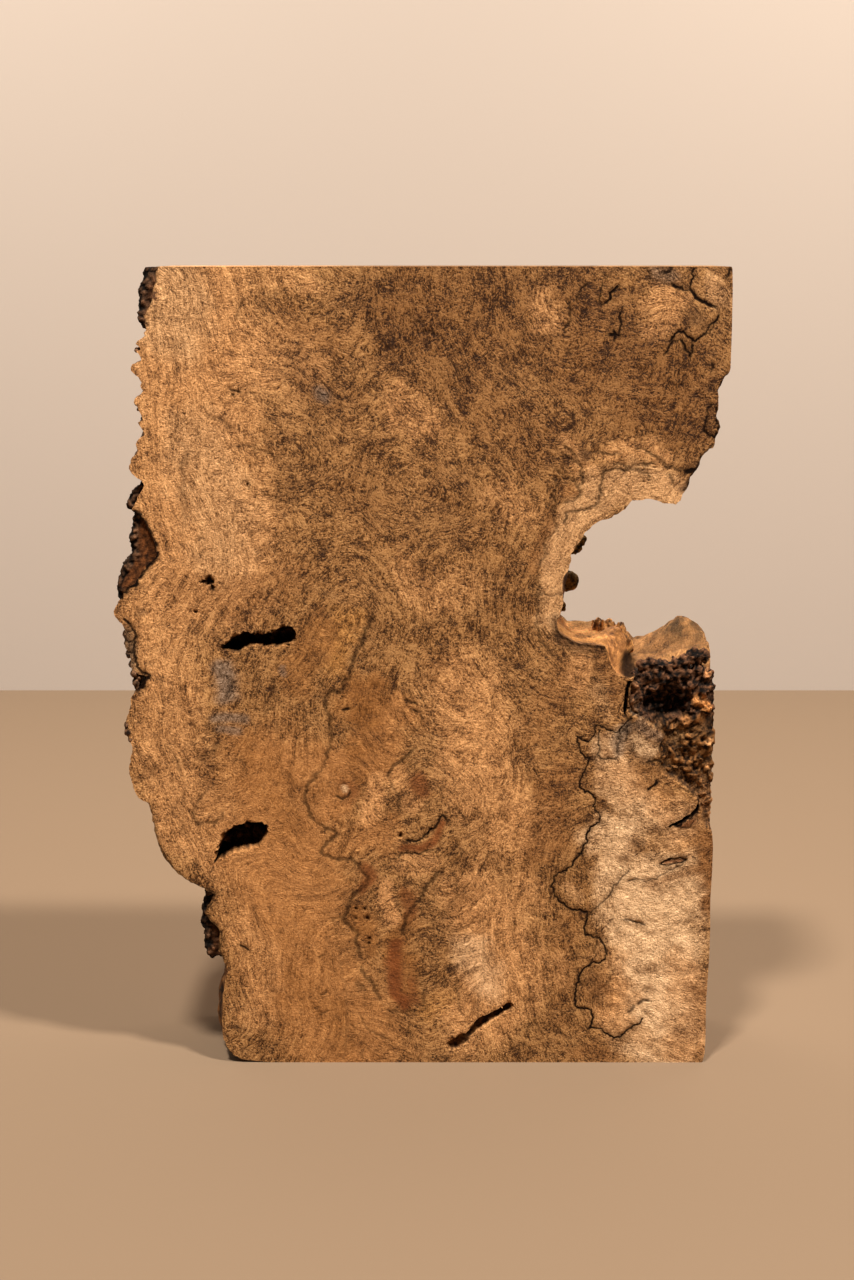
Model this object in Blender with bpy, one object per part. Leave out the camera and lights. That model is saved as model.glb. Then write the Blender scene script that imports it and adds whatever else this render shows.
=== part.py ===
"""Spalted maple board: a thick slab of burl with a ragged live edge and its own bark, as one solid.

Outlines are front views in millimetres, x to the right and z up from the sawn bottom edge.
Depth runs along y, from the front face at minus half the thickness to the back face.
"""

import math
import random

import bmesh
import bpy
import numpy as np
from mathutils import Vector, noise

MM = 0.001

# Driving dimensions of the slab
HEIGHT = 400.0
THICKNESS = 60.0
SAWN_X = 147.0
CENTRE_SHIFT = 0.5
FRONT = -THICKNESS / 2
BACK = THICKNESS / 2

# Depths of the cross sections, from 0 at the front face to 1 at the back face
LAYERS = [0.0, 0.07, 0.2, 0.38, 0.58, 0.78, 0.93, 1.0]

# How far the live edges wander from front to back, and over what length
WANDER = 3.6
WANDER_LENGTH = 30.0
RIDGE = 0.9
RIDGE_LENGTH = 7.0
SAWN_MARGIN = 12.0
SAWN_SIDE_MARGIN = 6.0
TIP_X = -148.0
TIP_MARGIN = 12.0

# How far the bark's outline drifts towards its back, and how far it lies below the sawn top
BARK_DRIFT = 1.4
BARK_STEP = 0.3

# Live edge on the left, from the top down: teeth, hollows under the bark, the tip and the wane
LEFT_EDGE = [
    (-122.0, 400.0), (-122.6, 396.0), (-122.2, 393.5), (-124.2, 389.5), (-124.8, 384.0), (-127.0, 380.2),
    (-129.0, 378.0), (-128.0, 374.0), (-127.6, 371.5), (-129.0, 369.5), (-128.4, 368.0), (-130.6, 366.6),
    (-133.0, 364.2), (-131.2, 363.2), (-130.0, 362.0), (-133.4, 361.2), (-131.4, 360.0), (-130.4, 356.6),
    (-133.0, 355.6), (-135.0, 354.2), (-135.6, 353.0), (-134.8, 351.2), (-132.6, 349.4), (-130.6, 346.8),
    (-131.4, 344.6), (-130.0, 342.4), (-131.8, 340.2), (-134.5, 338.2), (-134.4, 336.6), (-132.8, 335.0),
    (-132.4, 332.6), (-130.5, 329.2), (-133.2, 327.4), (-131.4, 325.0), (-129.8, 322.0), (-133.4, 319.4),
    (-134.2, 317.0), (-133.4, 313.6), (-137.0, 310.2), (-138.3, 306.6), (-137.6, 304.0), (-134.4, 301.2),
    (-131.2, 298.8), (-131.0, 297.0), (-133.2, 293.6), (-135.4, 289.6), (-137.8, 285.6), (-134.6, 284.2),
    (-131.2, 279.8), (-129.4, 274.8), (-127.0, 269.0), (-126.2, 264.6), (-127.2, 262.2), (-131.0, 259.0),
    (-134.5, 254.8), (-137.2, 249.8), (-141.0, 248.2), (-144.4, 243.0), (-146.8, 238.6), (-148.0, 235.6),
    (-147.2, 232.8), (-143.6, 229.8), (-143.0, 226.0), (-143.2, 221.4), (-142.6, 217.0), (-141.2, 213.6),
    (-140.4, 210.0), (-140.0, 206.0), (-136.6, 205.0), (-133.0, 203.6), (-135.4, 200.2), (-138.4, 196.8),
    (-141.0, 192.6), (-141.2, 188.8), (-143.2, 184.0), (-144.4, 180.0), (-143.6, 176.0), (-142.6, 171.4),
    (-141.2, 167.6), (-142.4, 162.4), (-143.5, 155.2), (-142.4, 150.6), (-141.2, 146.8), (-140.2, 142.8),
    (-137.2, 140.4), (-134.8, 139.4), (-133.0, 134.0), (-132.2, 127.0), (-130.8, 118.4), (-128.0, 111.4),
    (-124.0, 105.6), (-118.6, 100.0), (-113.0, 96.8), (-107.4, 93.6), (-103.0, 91.6), (-104.6, 87.4),
    (-108.4, 81.6), (-105.2, 77.0), (-102.2, 74.6), (-100.8, 71.0), (-101.0, 66.0), (-101.6, 61.6),
    (-99.4, 56.4), (-98.0, 52.6), (-97.4, 49.8), (-98.2, 45.6), (-99.4, 40.8), (-99.8, 35.0),
    (-100.4, 29.0), (-100.6, 22.0), (-100.4, 16.0), (-99.6, 11.0), (-97.8, 7.0), (-95.0, 3.6),
    (-90.6, 1.7), (-84.0, 0.9),
]

BOTTOM_EDGE = [(-76.0, 0.0), (-30.0, 0.0), (30.0, 0.0), (90.0, 0.0)]

# Sawn right edge, with the front arris a little chipped
RIGHT_EDGE_FRONT = [
    (145.4, 0.0), (146.4, 5.0), (146.6, 15.0), (146.2, 32.0), (147.0, 58.0), (147.0, 74.0), (146.6, 88.0),
    (147.0, 102.0), (147.0, 116.0), (146.0, 126.0), (145.2, 140.0), (144.9, 152.0), (146.0, 169.0),
    (145.3, 180.0), (144.3, 189.0), (145.0, 198.0),
]
RIGHT_EDGE_BACK = [(SAWN_X, 0.0), (SAWN_X, 204.0)]

# Top of the burl bark in front, and the saddle and knob of wood behind it, from right to left
CROWN_FRONT = [(144.4, 203.0), (139.0, 203.8), (132.0, 205.0), (125.0, 205.0), (118.0, 205.6), (109.0, 204.4)]
CROWN_MIDDLE = [
    (147.0, 212.6), (141.0, 213.6), (132.0, 211.0), (124.0, 208.2), (116.0, 206.8), (108.0, 207.0),
]
CROWN_BACK = [
    (147.0, 215.4), (144.0, 218.6), (139.6, 220.6), (134.0, 220.6), (129.0, 217.4), (125.0, 214.6),
    (119.0, 212.0), (112.0, 210.6),
]

# Ledge at the foot of the notch, from right to left
LEDGE_FRONT = [
    (103.5, 203.0), (99.0, 203.6), (96.4, 205.6), (94.3, 208.8), (93.0, 212.4), (92.0, 216.4), (90.6, 219.2),
    (86.0, 219.6), (80.0, 219.9), (74.6, 221.4), (70.8, 223.8), (68.2, 226.6),
]
LEDGE_MIDDLE = [
    (106.0, 208.0), (104.6, 217.0), (100.0, 221.4), (93.0, 222.0), (86.0, 217.0), (76.0, 218.0),
    (69.4, 224.6),
]
LEDGE_BACK = [
    (111.0, 211.6), (106.6, 217.0), (101.0, 220.0), (92.0, 221.2), (86.0, 218.8), (76.0, 218.8),
    (70.0, 225.0),
]

# Wall and roof of the notch and the upper live edge, from the ledge up to the sawn corner
NOTCH_EDGE = [
    (66.8, 229.0), (67.2, 231.8), (69.2, 235.6), (69.6, 240.0), (69.9, 243.6), (69.4, 248.8), (70.2, 253.0),
    (72.4, 257.0), (73.4, 260.4), (73.0, 264.0), (75.2, 267.8), (78.2, 271.4), (80.0, 274.6), (83.4, 278.6),
    (87.0, 280.6), (92.0, 281.8), (95.4, 283.8), (98.8, 286.2), (102.2, 290.6), (107.0, 290.7),
    (110.8, 291.7),
    (114.6, 290.2), (118.0, 289.0), (123.4, 288.7), (125.2, 290.4), (126.0, 293.0), (129.0, 298.2),
    (130.2, 302.4), (132.8, 304.8), (134.6, 310.6), (136.6, 313.6), (140.2, 315.8), (141.2, 320.4),
    (143.0, 325.2), (142.8, 328.2), (141.2, 330.0), (141.8, 336.0), (142.0, 340.2), (141.2, 343.2),
    (144.2, 348.2), (146.6, 351.2),
]
UPPER_SAWN_EDGE = [(147.0, 353.0), (147.0, 372.0), (146.7, 390.0), (146.2, 400.0)]
UPPER_SAWN_BACK = [(147.0, 353.0), (147.0, 400.0)]
TOP_EDGE = [(100.0, 400.0), (50.0, 400.0), (0.0, 400.0), (-50.0, 400.0), (-100.0, 400.0)]

# Places where the edge is pulled over as it goes back: x, z, pull in x, reach, first and last depth
EDGE_PULLS = [
    (-101.0, 19.0, -5.4, 13.0, 0.0, 0.30),
    (-136.0, 203.0, -4.0, 7.0, 0.05, 0.25),
    (-128.0, 268.0, -6.0, 16.0, 0.30, 0.80),
    (-100.0, 72.0, -4.0, 16.0, 0.35, 0.85),
    (72.0, 250.0, 4.5, 24.0, 0.40, 0.85),
]

# Scraps of bark on the left edge: front outline, and the depths in y between which they lie
BARK_SCRAPS = {
    "bark_strip": (
        [
            (-121.0, 399.7), (-128.0, 399.7), (-128.8, 395.0), (-130.3, 390.6), (-130.8, 385.0),
            (-131.5, 379.0),
            (-131.4, 374.0), (-129.4, 371.6), (-126.6, 371.0), (-123.6, 378.0), (-121.0, 386.0),
        ],
        FRONT + 0.3,
        22.0,
    ),
    "bark_chunk": (
        [
            (-132.6, 298.8), (-136.0, 295.6), (-139.0, 292.6), (-140.2, 289.0), (-140.0, 285.8),
            (-137.0, 284.0),
            (-133.0, 286.0), (-129.0, 292.0), (-128.6, 296.6),
        ],
        FRONT + 3.0,
        14.0,
    ),
    "bark_flake": (
        [
            (-135.0, 285.0), (-137.8, 283.0), (-138.2, 276.0), (-139.6, 273.0), (-139.4, 267.0),
            (-138.6, 264.6),
            (-140.4, 261.6), (-143.2, 259.2), (-144.4, 255.4), (-146.2, 249.6), (-146.4, 243.0),
            (-145.0, 239.4),
            (-140.0, 244.0), (-133.0, 252.0), (-125.0, 259.0), (-122.6, 264.8), (-124.6, 271.0),
            (-127.6, 279.0),
        ],
        FRONT + 2.4,
        20.0,
    ),
    "bark_crust": (
        [
            (-97.0, 93.8), (-108.4, 92.6), (-107.2, 90.2), (-108.6, 86.6), (-109.7, 82.4), (-109.0, 79.6),
            (-111.0, 74.4), (-108.6, 71.0), (-109.2, 64.0), (-108.2, 59.0), (-105.6, 55.2), (-103.4, 56.6),
            (-95.6, 56.6), (-93.6, 74.0),
        ],
        FRONT + 2.6,
        18.0,
    ),
    "bark_spike": (
        [(-112.0, 99.0), (-117.6, 99.0), (-118.1, 95.4), (-115.6, 95.8), (-110.0, 93.6)],
        -18.0,
        -4.0,
    ),
}

# Hollows cut into the front face: depth, then stations of x, z and half width along the middle
HOLLOWS = {
    "worm_void": (
        13.0,
        [
            (-95.6, 218.3, 0.9), (-92.5, 218.6, 1.8), (-89.5, 219.3, 3.0), (-86.5, 221.0, 3.2),
            (-83.5, 222.7, 2.9),
            (-80.0, 222.6, 2.5), (-76.0, 222.2, 2.6), (-72.0, 222.2, 2.9), (-68.5, 222.9, 3.5),
            (-65.5, 224.0, 4.2),
            (-63.0, 224.7, 3.3), (-61.4, 225.2, 1.6),
        ],
    ),
    "leaf_void": (
        15.0,
        [
            (-102.6, 107.9, 0.4), (-100.3, 110.9, 1.0), (-98.2, 113.8, 2.4), (-95.4, 117.0, 3.6),
            (-92.2, 119.5, 5.2),
            (-88.8, 121.3, 6.0), (-85.2, 122.0, 6.4), (-82.0, 123.2, 5.2), (-79.3, 125.0, 2.9),
            (-77.6, 126.0, 0.9),
        ],
    ),
    "foot_void": (
        6.0,
        [
            (18.0, 9.6, 2.4), (19.8, 10.8, 3.6), (22.4, 13.6, 1.9), (25.0, 15.3, 1.6), (27.6, 17.6, 1.8),
            (29.6, 20.2, 2.1), (31.6, 22.4, 2.2), (34.6, 24.4, 1.9), (38.0, 25.6, 2.1), (41.4, 27.6, 1.8),
            (44.4, 29.6, 1.8), (45.2, 31.8, 1.3),
        ],
    ),
    "bark_crack": (
        11.0,
        [
            (105.0, 204.6, 0.6), (103.0, 202.0, 1.1), (102.1, 198.0, 1.2), (101.8, 193.0, 1.1),
            (101.4, 188.0, 1.1),
            (101.2, 184.8, 0.5),
        ],
    ),
    "edge_crack": (
        6.0,
        [
            (139.2, 139.5, 0.4), (138.4, 136.0, 0.8), (136.0, 133.0, 0.9), (132.5, 130.7, 0.9),
            (129.0, 128.6, 0.9),
            (124.8, 126.7, 0.6),
        ],
    ),
    "eye_slit": (
        4.0,
        [
            (120.8, 107.2, 0.4), (124.0, 108.3, 0.9), (128.0, 109.0, 1.2), (131.5, 109.3, 1.0),
            (134.0, 109.5, 0.4),
        ],
    ),
}

# Each hollow's depth shares and the share of its width left there, from just in front of the face
HOLLOW_PROFILE = [(0.0, 1.0), (0.35, 0.92), (0.75, 0.7), (1.0, 0.35)]
CUT_START = -1.0

# Each bark scrap's depth shares and the size of its outline there
BARK_PROFILE = [(0.0, 1.0), (0.3, 1.02), (0.7, 0.98), (1.0, 0.86)]

# Bare patch where the burl's own surface lies lower than the sawn face: outline and slopes
PATCH_DEPTH = 2.5
PATCH_SLOPE_X = 0.10
PATCH_SLOPE_Z = 0.16
PATCH_LEFT = 104.0
PATCH_RISE = 184.0
PATCH_WAVE = 1.2
PATCH_WAVE_LENGTH = 9.0
BARK_PATCH = [
    (102.8, 184.4), (102.6, 192.0), (103.2, 198.4), (105.6, 203.6), (107.0, 210.0), (152.0, 226.0),
    (152.0, 124.0),
    (147.0, 123.0), (141.6, 127.6), (140.6, 134.0), (137.8, 141.0), (132.0, 147.0), (126.0, 151.0),
    (121.0, 153.6),
    (118.6, 158.0), (119.4, 163.0), (117.6, 168.0), (120.4, 173.0), (115.0, 178.6), (109.0, 182.4),
]

# Nodules of the burl bark, by hand where they show: x, z and radius
NODULES = [
    (110.6, 208.0, 3.0), (114.6, 208.8, 3.0), (118.6, 207.8, 3.0), (122.6, 207.4, 2.8),
    (126.6, 208.4, 3.2), (131.2, 209.2, 3.6), (135.6, 211.4, 4.0), (140.6, 212.0, 4.0), (106.4, 198.4, 3.6),
    (105.6, 191.4, 3.2), (112.0, 202.4, 3.6), (118.0, 202.6, 3.4), (124.6, 202.6, 3.6), (131.0, 203.4, 3.8),
    (137.4, 204.6, 3.6), (142.4, 201.8, 2.8), (134.2, 197.8, 3.4), (140.4, 195.0, 3.4), (137.6, 189.4, 3.4),
    (142.4, 185.6, 3.2), (136.4, 181.8, 3.2), (129.4, 180.2, 3.2), (122.4, 178.6, 3.2), (115.4, 181.4, 2.8),
    (122.0, 192.6, 2.8),
]
LOWER_NODULES = 15
LOWER_NODULE_BOX = (124.0, 143.0, 130.0, 175.0)
LOWER_NODULE_RADII = (2.4, 3.8)
NODULE_SEED = 11
NODULE_SINK = 0.35
NODULE_LENGTH = 1.25
NODULE_ROUGHNESS = 0.5

# Crater in the burl bark: centre x and z, half width, half height and depth below the bark
CRATER = (121.8, 189.8, 12.6, 7.6, 8.5)
CRATER_ROUGHNESS = 0.4
LUMP_GRAIN = 1.7

# Torn crests along the ledge: tip x, y, z, then the base's radius and height
CRESTS = [
    (90.0, 19.0, 224.4, 3.4, 8.0), (92.6, 13.0, 224.0, 3.2, 9.0), (96.4, 17.0, 223.4, 3.6, 9.0),
    (98.6, 8.0, 221.8, 3.2, 9.0), (102.4, 12.0, 223.0, 3.0, 10.0), (104.6, 5.0, 218.4, 2.8, 9.0),
    (94.4, 4.0, 221.6, 3.0, 8.0),
]
CREST_PROFILE = [(0.0, 1.0), (0.55, 0.8), (0.85, 0.5), (1.0, 0.16)]
CREST_SIDES = 6
CREST_LENGTH = 1.5
CREST_ROUGHNESS = 0.4

# Lichen-covered bits on the back half of the notch wall: centre x, y, z and radii
WALL_BITS = [
    ((80.4, 24.0, 263.0), (6.0, 4.0, 3.6)),
    ((78.0, 22.0, 258.4), (5.4, 4.0, 3.0)),
    ((75.6, 24.0, 241.4), (7.4, 5.0, 6.2)),
    ((71.6, 24.0, 228.2), (4.6, 3.8, 3.6)),
]
WALL_BIT_ROUGHNESS = 0.5

WOOD_COLOUR = (0.42, 0.22, 0.10, 1.0)
BARK_COLOUR = (0.045, 0.027, 0.018, 1.0)


def clear_scene():
    """Remove every object that the file opened with."""
    for item in list(bpy.data.objects):
        bpy.data.objects.remove(item, do_unlink=True)


def make_material(name, colour, roughness):
    """Return a Principled material."""
    material = bpy.data.materials.new(name)
    material.use_nodes = True
    shader = material.node_tree.nodes["Principled BSDF"]
    shader.inputs["Base Color"].default_value = colour
    shader.inputs["Roughness"].default_value = roughness
    shader.inputs["Metallic"].default_value = 0.0
    return material


def smooth_step(value, low, high):
    """Rise smoothly from 0 at low to 1 at high."""
    share = min(max((value - low) / (high - low), 0.0), 1.0)
    return share * share * (3.0 - 2.0 * share)


def resample(points, count):
    """Spread count points evenly along a polyline, ends included."""
    line = np.array(points, dtype=float)
    steps = np.hypot(*np.diff(line, axis=0).T)
    reach = np.concatenate([[0.0], np.cumsum(steps)])
    wanted = np.linspace(0.0, reach[-1], count)
    return list(zip(np.interp(wanted, reach, line[:, 0]), np.interp(wanted, reach, line[:, 1])))


def outline_sections():
    """List the slab's sections, anticlockwise from the top left, as front, middle and back points."""
    plain = [LEFT_EDGE, BOTTOM_EDGE]
    sections = [(points, points, points) for points in plain]
    sections.append((RIGHT_EDGE_FRONT, RIGHT_EDGE_BACK, RIGHT_EDGE_BACK))
    sections.append((CROWN_FRONT, CROWN_MIDDLE, CROWN_BACK))
    sections.append((LEDGE_FRONT, LEDGE_MIDDLE, LEDGE_BACK))
    sections.append((NOTCH_EDGE, NOTCH_EDGE, NOTCH_EDGE))
    sections.append((UPPER_SAWN_EDGE, UPPER_SAWN_BACK, UPPER_SAWN_BACK))
    sections.append((TOP_EDGE, TOP_EDGE, TOP_EDGE))
    return sections


def section_point(front, middle, back, depth):
    """Blend the three outlines at a depth from 0 to 1."""
    if depth < 0.5:
        share = smooth_step(depth, 0.0, 0.5)
        return front[0] + (middle[0] - front[0]) * share, front[1] + (middle[1] - front[1]) * share
    share = smooth_step(depth, 0.5, 1.0)
    return middle[0] + (back[0] - middle[0]) * share, middle[1] + (back[1] - middle[1]) * share


def drift(x, y, z, length):
    """Return two independent smooth random values, between about -1 and 1, for x and z."""
    place = Vector((x, y, z)) / length
    return noise.noise(place), noise.noise(place + Vector((31.0, 7.0, 3.0)))


def wander(x, z, depth):
    """Move a point of the outline as the live edge goes back, but leave sawn edges and the tip in place."""
    hold = smooth_step(min(z, HEIGHT - z), 0.0, SAWN_MARGIN) * smooth_step(SAWN_X - x, 0.0, SAWN_SIDE_MARGIN)
    hold *= smooth_step(x - TIP_X, 0.0, TIP_MARGIN) * smooth_step(depth, 0.0, 0.3)
    y = depth * THICKNESS
    slow_x, slow_z = drift(x, y, z, WANDER_LENGTH)
    fast_x, fast_z = drift(x, y, z, RIDGE_LENGTH)
    x += hold * (WANDER * slow_x + RIDGE * fast_x)
    z += hold * (WANDER * slow_z + RIDGE * fast_z)
    for pull_x, pull_z, amount, reach, first, last in EDGE_PULLS:
        away = math.hypot(x - pull_x, z - pull_z) / reach
        x += amount * math.exp(-away * away) * smooth_step(depth, first, last)
    return x, z


def slab_ring(depth):
    """Return the slab's outline at one depth."""
    ring = []
    for front, middle, back in outline_sections():
        count = len(front)
        rows = zip(front, resample(middle, count), resample(back, count))
        if middle is front:
            rows = zip(front, front, front)
        for row in rows:
            ring.append(wander(*section_point(*row, depth), depth))
    y = FRONT + depth * THICKNESS
    return [Vector((x + CENTRE_SHIFT, y, z)) * MM for x, z in ring]


def solid_from_rings(name, rings, material):
    """Close a stack of equal rings into one solid object."""
    mesh = bmesh.new()
    rows = [[mesh.verts.new(point) for point in ring] for ring in rings]
    count = len(rows[0])
    for near, far in zip(rows, rows[1:]):
        for here in range(count):
            after = (here + 1) % count
            mesh.faces.new((near[here], near[after], far[after], far[here]))
    mesh.faces.new(rows[0])
    mesh.faces.new(rows[-1])
    return finish_object(name, mesh, material)


def finish_object(name, mesh, material):
    """Turn a bmesh into an object of triangles with its faces pointing out."""
    bmesh.ops.recalc_face_normals(mesh, faces=mesh.faces)
    bmesh.ops.triangulate(mesh, faces=mesh.faces)
    data = bpy.data.meshes.new(name)
    mesh.to_mesh(data)
    mesh.free()
    data.materials.append(material)
    item = bpy.data.objects.new(name, data)
    bpy.context.collection.objects.link(item)
    return item


def make_slab(material):
    """Loft the slab through its cross sections."""
    return solid_from_rings("spalted_maple_board", [slab_ring(depth) for depth in LAYERS], material)


def make_bark_scrap(name, outline, near, far, material):
    """Make one scrap of bark that drifts and narrows towards its back."""
    centre = np.mean(outline, axis=0)
    rings = []
    for share, scale in BARK_PROFILE:
        y = near + (far - near) * share
        ring = []
        for x, z in outline:
            shift_x, shift_z = drift(x, y, z, RIDGE_LENGTH)
            new_x = centre[0] + (x - centre[0]) * scale + shift_x * BARK_DRIFT * share
            new_z = centre[1] + (z - centre[1]) * scale + shift_z * BARK_DRIFT * share
            new_z = min(new_z, HEIGHT - BARK_STEP)
            ring.append(Vector((new_x + CENTRE_SHIFT, y, new_z)) * MM)
        rings.append(ring)
    return solid_from_rings(name, rings, material)


def spine_outline(stations, scale):
    """Return the outline of a hollow whose half widths are scaled, tip to tip and back."""
    line = [Vector((x, z)) for x, z, _ in stations]
    left = []
    right = []
    for place, (x, z, half) in enumerate(stations):
        along = (line[min(place + 1, len(line) - 1)] - line[max(place - 1, 0)]).normalized()
        across = Vector((-along.y, along.x)) * half * scale
        left.append((x + across.x, z + across.y))
        right.append((x - across.x, z - across.y))
    return left + right[::-1]


def front_ring(outline, depth):
    """Place an outline at one depth behind the front face."""
    return [Vector((x + CENTRE_SHIFT, FRONT + depth, z)) * MM for x, z in outline]


def make_hollow_cutter(name, depth, stations, material):
    """Make the cutter for a hollow that narrows with depth."""
    rings = [front_ring(spine_outline(stations, 1.0), CUT_START)]
    rings += [front_ring(spine_outline(stations, scale), depth * share) for share, scale in HOLLOW_PROFILE]
    return solid_from_rings(name, rings, material)


def patch_depth(x, z):
    """Depth of the burl's own surface below the sawn face."""
    slope = PATCH_SLOPE_X * max(x - PATCH_LEFT, 0.0) + PATCH_SLOPE_Z * max(z - PATCH_RISE, 0.0)
    return PATCH_DEPTH + slope + PATCH_WAVE * noise.noise(Vector((x, 0.0, z)) / PATCH_WAVE_LENGTH)


def make_patch_cutter(material):
    """Make the cutter that lowers the burl bark's patch."""
    far = [Vector((x + CENTRE_SHIFT, FRONT + patch_depth(x, z), z)) * MM for x, z in BARK_PATCH]
    return solid_from_rings("bark_patch", [front_ring(BARK_PATCH, CUT_START), far], material)


def make_lump(name, centre, radii, roughness, material, divisions=2):
    """Make a knobbly ball of the given radii."""
    mesh = bmesh.new()
    bmesh.ops.create_icosphere(mesh, subdivisions=divisions, radius=1.0)
    middle = Vector(centre)
    for vertex in mesh.verts:
        swell = 1.0 + roughness * noise.noise(vertex.co * LUMP_GRAIN + middle)
        stretched = Vector((vertex.co.x * radii[0], vertex.co.y * radii[1], vertex.co.z * radii[2]))
        point = middle + stretched * swell
        vertex.co = (point + Vector((CENTRE_SHIFT, 0.0, 0.0))) * MM
    return finish_object(name, mesh, material)


def make_nodules(material):
    """Make the burl bark's nodules, by hand at the top and seeded below."""
    draw = random.Random(NODULE_SEED)
    places = [(x, z, radius, 2) for x, z, radius in NODULES]
    low_x, high_x, low_z, high_z = LOWER_NODULE_BOX
    for _ in range(LOWER_NODULES):
        radius = draw.uniform(*LOWER_NODULE_RADII)
        places.append((draw.uniform(low_x, high_x), draw.uniform(low_z, high_z), radius, 1))
    lumps = []
    for place, (x, z, radius, divisions) in enumerate(places):
        y = FRONT + patch_depth(x, z) + NODULE_SINK * radius
        radii = (radius, radius * NODULE_LENGTH, radius)
        lumps.append(make_lump(f"nodule_{place}", (x, y, z), radii, NODULE_ROUGHNESS, material, divisions))
    return lumps


def make_crest(name, x, y, tip, radius, drop, material):
    """Make one torn splinter of wood that stands on the ledge."""
    rings = []
    for share, scale in CREST_PROFILE:
        ring = []
        for corner in range(CREST_SIDES):
            turn = math.tau * corner / CREST_SIDES
            uneven = noise.noise(Vector((x + corner, y, tip * share)))
            reach = radius * scale * (1.0 + CREST_ROUGHNESS * uneven)
            across = x + CENTRE_SHIFT + reach * math.cos(turn)
            inward = y + CREST_LENGTH * reach * math.sin(turn)
            ring.append(Vector((across, inward, tip - drop * (1.0 - share))) * MM)
        rings.append(ring)
    return solid_from_rings(name, rings, material)


def apply_boolean(target, others, operation):
    """Cut or join a group of objects with the target, and remove the group."""
    group = bpy.data.collections.new(operation.lower())
    bpy.context.scene.collection.children.link(group)
    for item in others:
        bpy.context.collection.objects.unlink(item)
        group.objects.link(item)
    modifier = target.modifiers.new(operation.lower(), "BOOLEAN")
    modifier.operation = operation
    modifier.operand_type = "COLLECTION"
    modifier.collection = group
    modifier.solver = "EXACT"
    modifier.use_self = False
    modifier.material_mode = "TRANSFER"
    evaluated = target.evaluated_get(bpy.context.evaluated_depsgraph_get())
    result = bpy.data.meshes.new_from_object(evaluated)
    target.modifiers.clear()
    target.data = result
    for item in others:
        bpy.data.objects.remove(item, do_unlink=True)
    bpy.data.collections.remove(group)


def build():
    """Build the board as one solid."""
    clear_scene()
    wood = make_material("spalted_maple", WOOD_COLOUR, 0.62)
    bark = make_material("maple_bark", BARK_COLOUR, 0.9)
    board = make_slab(wood)
    board.data.materials.append(bark)
    cutters = [make_hollow_cutter(name, *shape, bark) for name, shape in HOLLOWS.items()]
    cutters.append(make_patch_cutter(bark))
    apply_boolean(board, cutters, "DIFFERENCE")
    grown = [make_bark_scrap(name, *shape, bark) for name, shape in BARK_SCRAPS.items()]
    grown += make_nodules(bark)
    for place, (centre, radii) in enumerate(WALL_BITS):
        grown.append(make_lump(f"wall_bit_{place}", centre, radii, WALL_BIT_ROUGHNESS, bark))
    grown += [make_crest(f"crest_{place}", *shape, wood) for place, shape in enumerate(CRESTS)]
    apply_boolean(board, grown, "UNION")
    crater_x, crater_z, half_width, half_height, depth = CRATER
    centre = (crater_x, FRONT + patch_depth(crater_x, crater_z), crater_z)
    crater = make_lump("crater", centre, (half_width, depth, half_height), CRATER_ROUGHNESS, bark)
    apply_boolean(board, [crater], "DIFFERENCE")


build()
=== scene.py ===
"""Spalted maple board: the fine surface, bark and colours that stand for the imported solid.

Outlines and markings are front views in millimetres, x to the right and z up from the sawn bottom edge.
Depth runs along y, from the front face to the back face.
"""

import itertools
import math
import random

import bmesh
import bpy
import numpy as np
from mathutils import Matrix, Vector, noise
from mathutils.geometry import delaunay_2d_cdt
from mathutils.kdtree import KDTree


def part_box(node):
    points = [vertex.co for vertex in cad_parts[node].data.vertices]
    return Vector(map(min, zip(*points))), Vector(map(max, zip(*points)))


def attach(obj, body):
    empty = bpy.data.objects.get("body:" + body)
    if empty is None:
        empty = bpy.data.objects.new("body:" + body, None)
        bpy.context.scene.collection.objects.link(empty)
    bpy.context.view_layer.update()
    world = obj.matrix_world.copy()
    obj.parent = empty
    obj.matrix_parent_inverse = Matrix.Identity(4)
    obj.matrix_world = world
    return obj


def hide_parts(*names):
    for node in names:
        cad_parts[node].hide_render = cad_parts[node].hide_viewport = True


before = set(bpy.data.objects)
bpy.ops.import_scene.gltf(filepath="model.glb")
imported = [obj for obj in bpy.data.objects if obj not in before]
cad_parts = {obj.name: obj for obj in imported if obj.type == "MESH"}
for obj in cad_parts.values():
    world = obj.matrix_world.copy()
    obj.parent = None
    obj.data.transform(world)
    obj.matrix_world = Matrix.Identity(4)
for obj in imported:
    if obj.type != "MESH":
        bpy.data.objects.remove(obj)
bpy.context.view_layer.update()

MM = 0.001
NODE = "spalted_maple_board"
LOW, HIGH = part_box(NODE)
HEIGHT = HIGH.z / MM
FRONT = LOW.y / MM
BACK = HIGH.y / MM
THICKNESS = BACK - FRONT

# The slab's own measures
SAWN_X = 147.0
CENTRE_SHIFT = 0.5
WANDER = 3.6
WANDER_LENGTH = 30.0
RIDGE = 0.9
RIDGE_LENGTH = 7.0
SAWN_MARGIN = 12.0
SAWN_SIDE_MARGIN = 6.0
TIP_X = -148.0
TIP_MARGIN = 12.0

# Margins inside which distances to lines and hollows are measured, and what stands for far away
LINE_MARGIN = 60.0
HOLLOW_MARGIN = 8.0
FAR = 1e3

# Least distance of the lines' points from the rim, and of those beside a line from other points
RIM_CLEAR = 0.55
POINT_CLEAR = 0.3

# Seeds of the random draws
FRONT_SEED = 5
BACK_SEED = 6
NODULE_SEED = 11
CREST_SEED = 17
CRUMB_SEED = 21
KNOB_SEED = 31
WALL_SEED = 43

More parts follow.
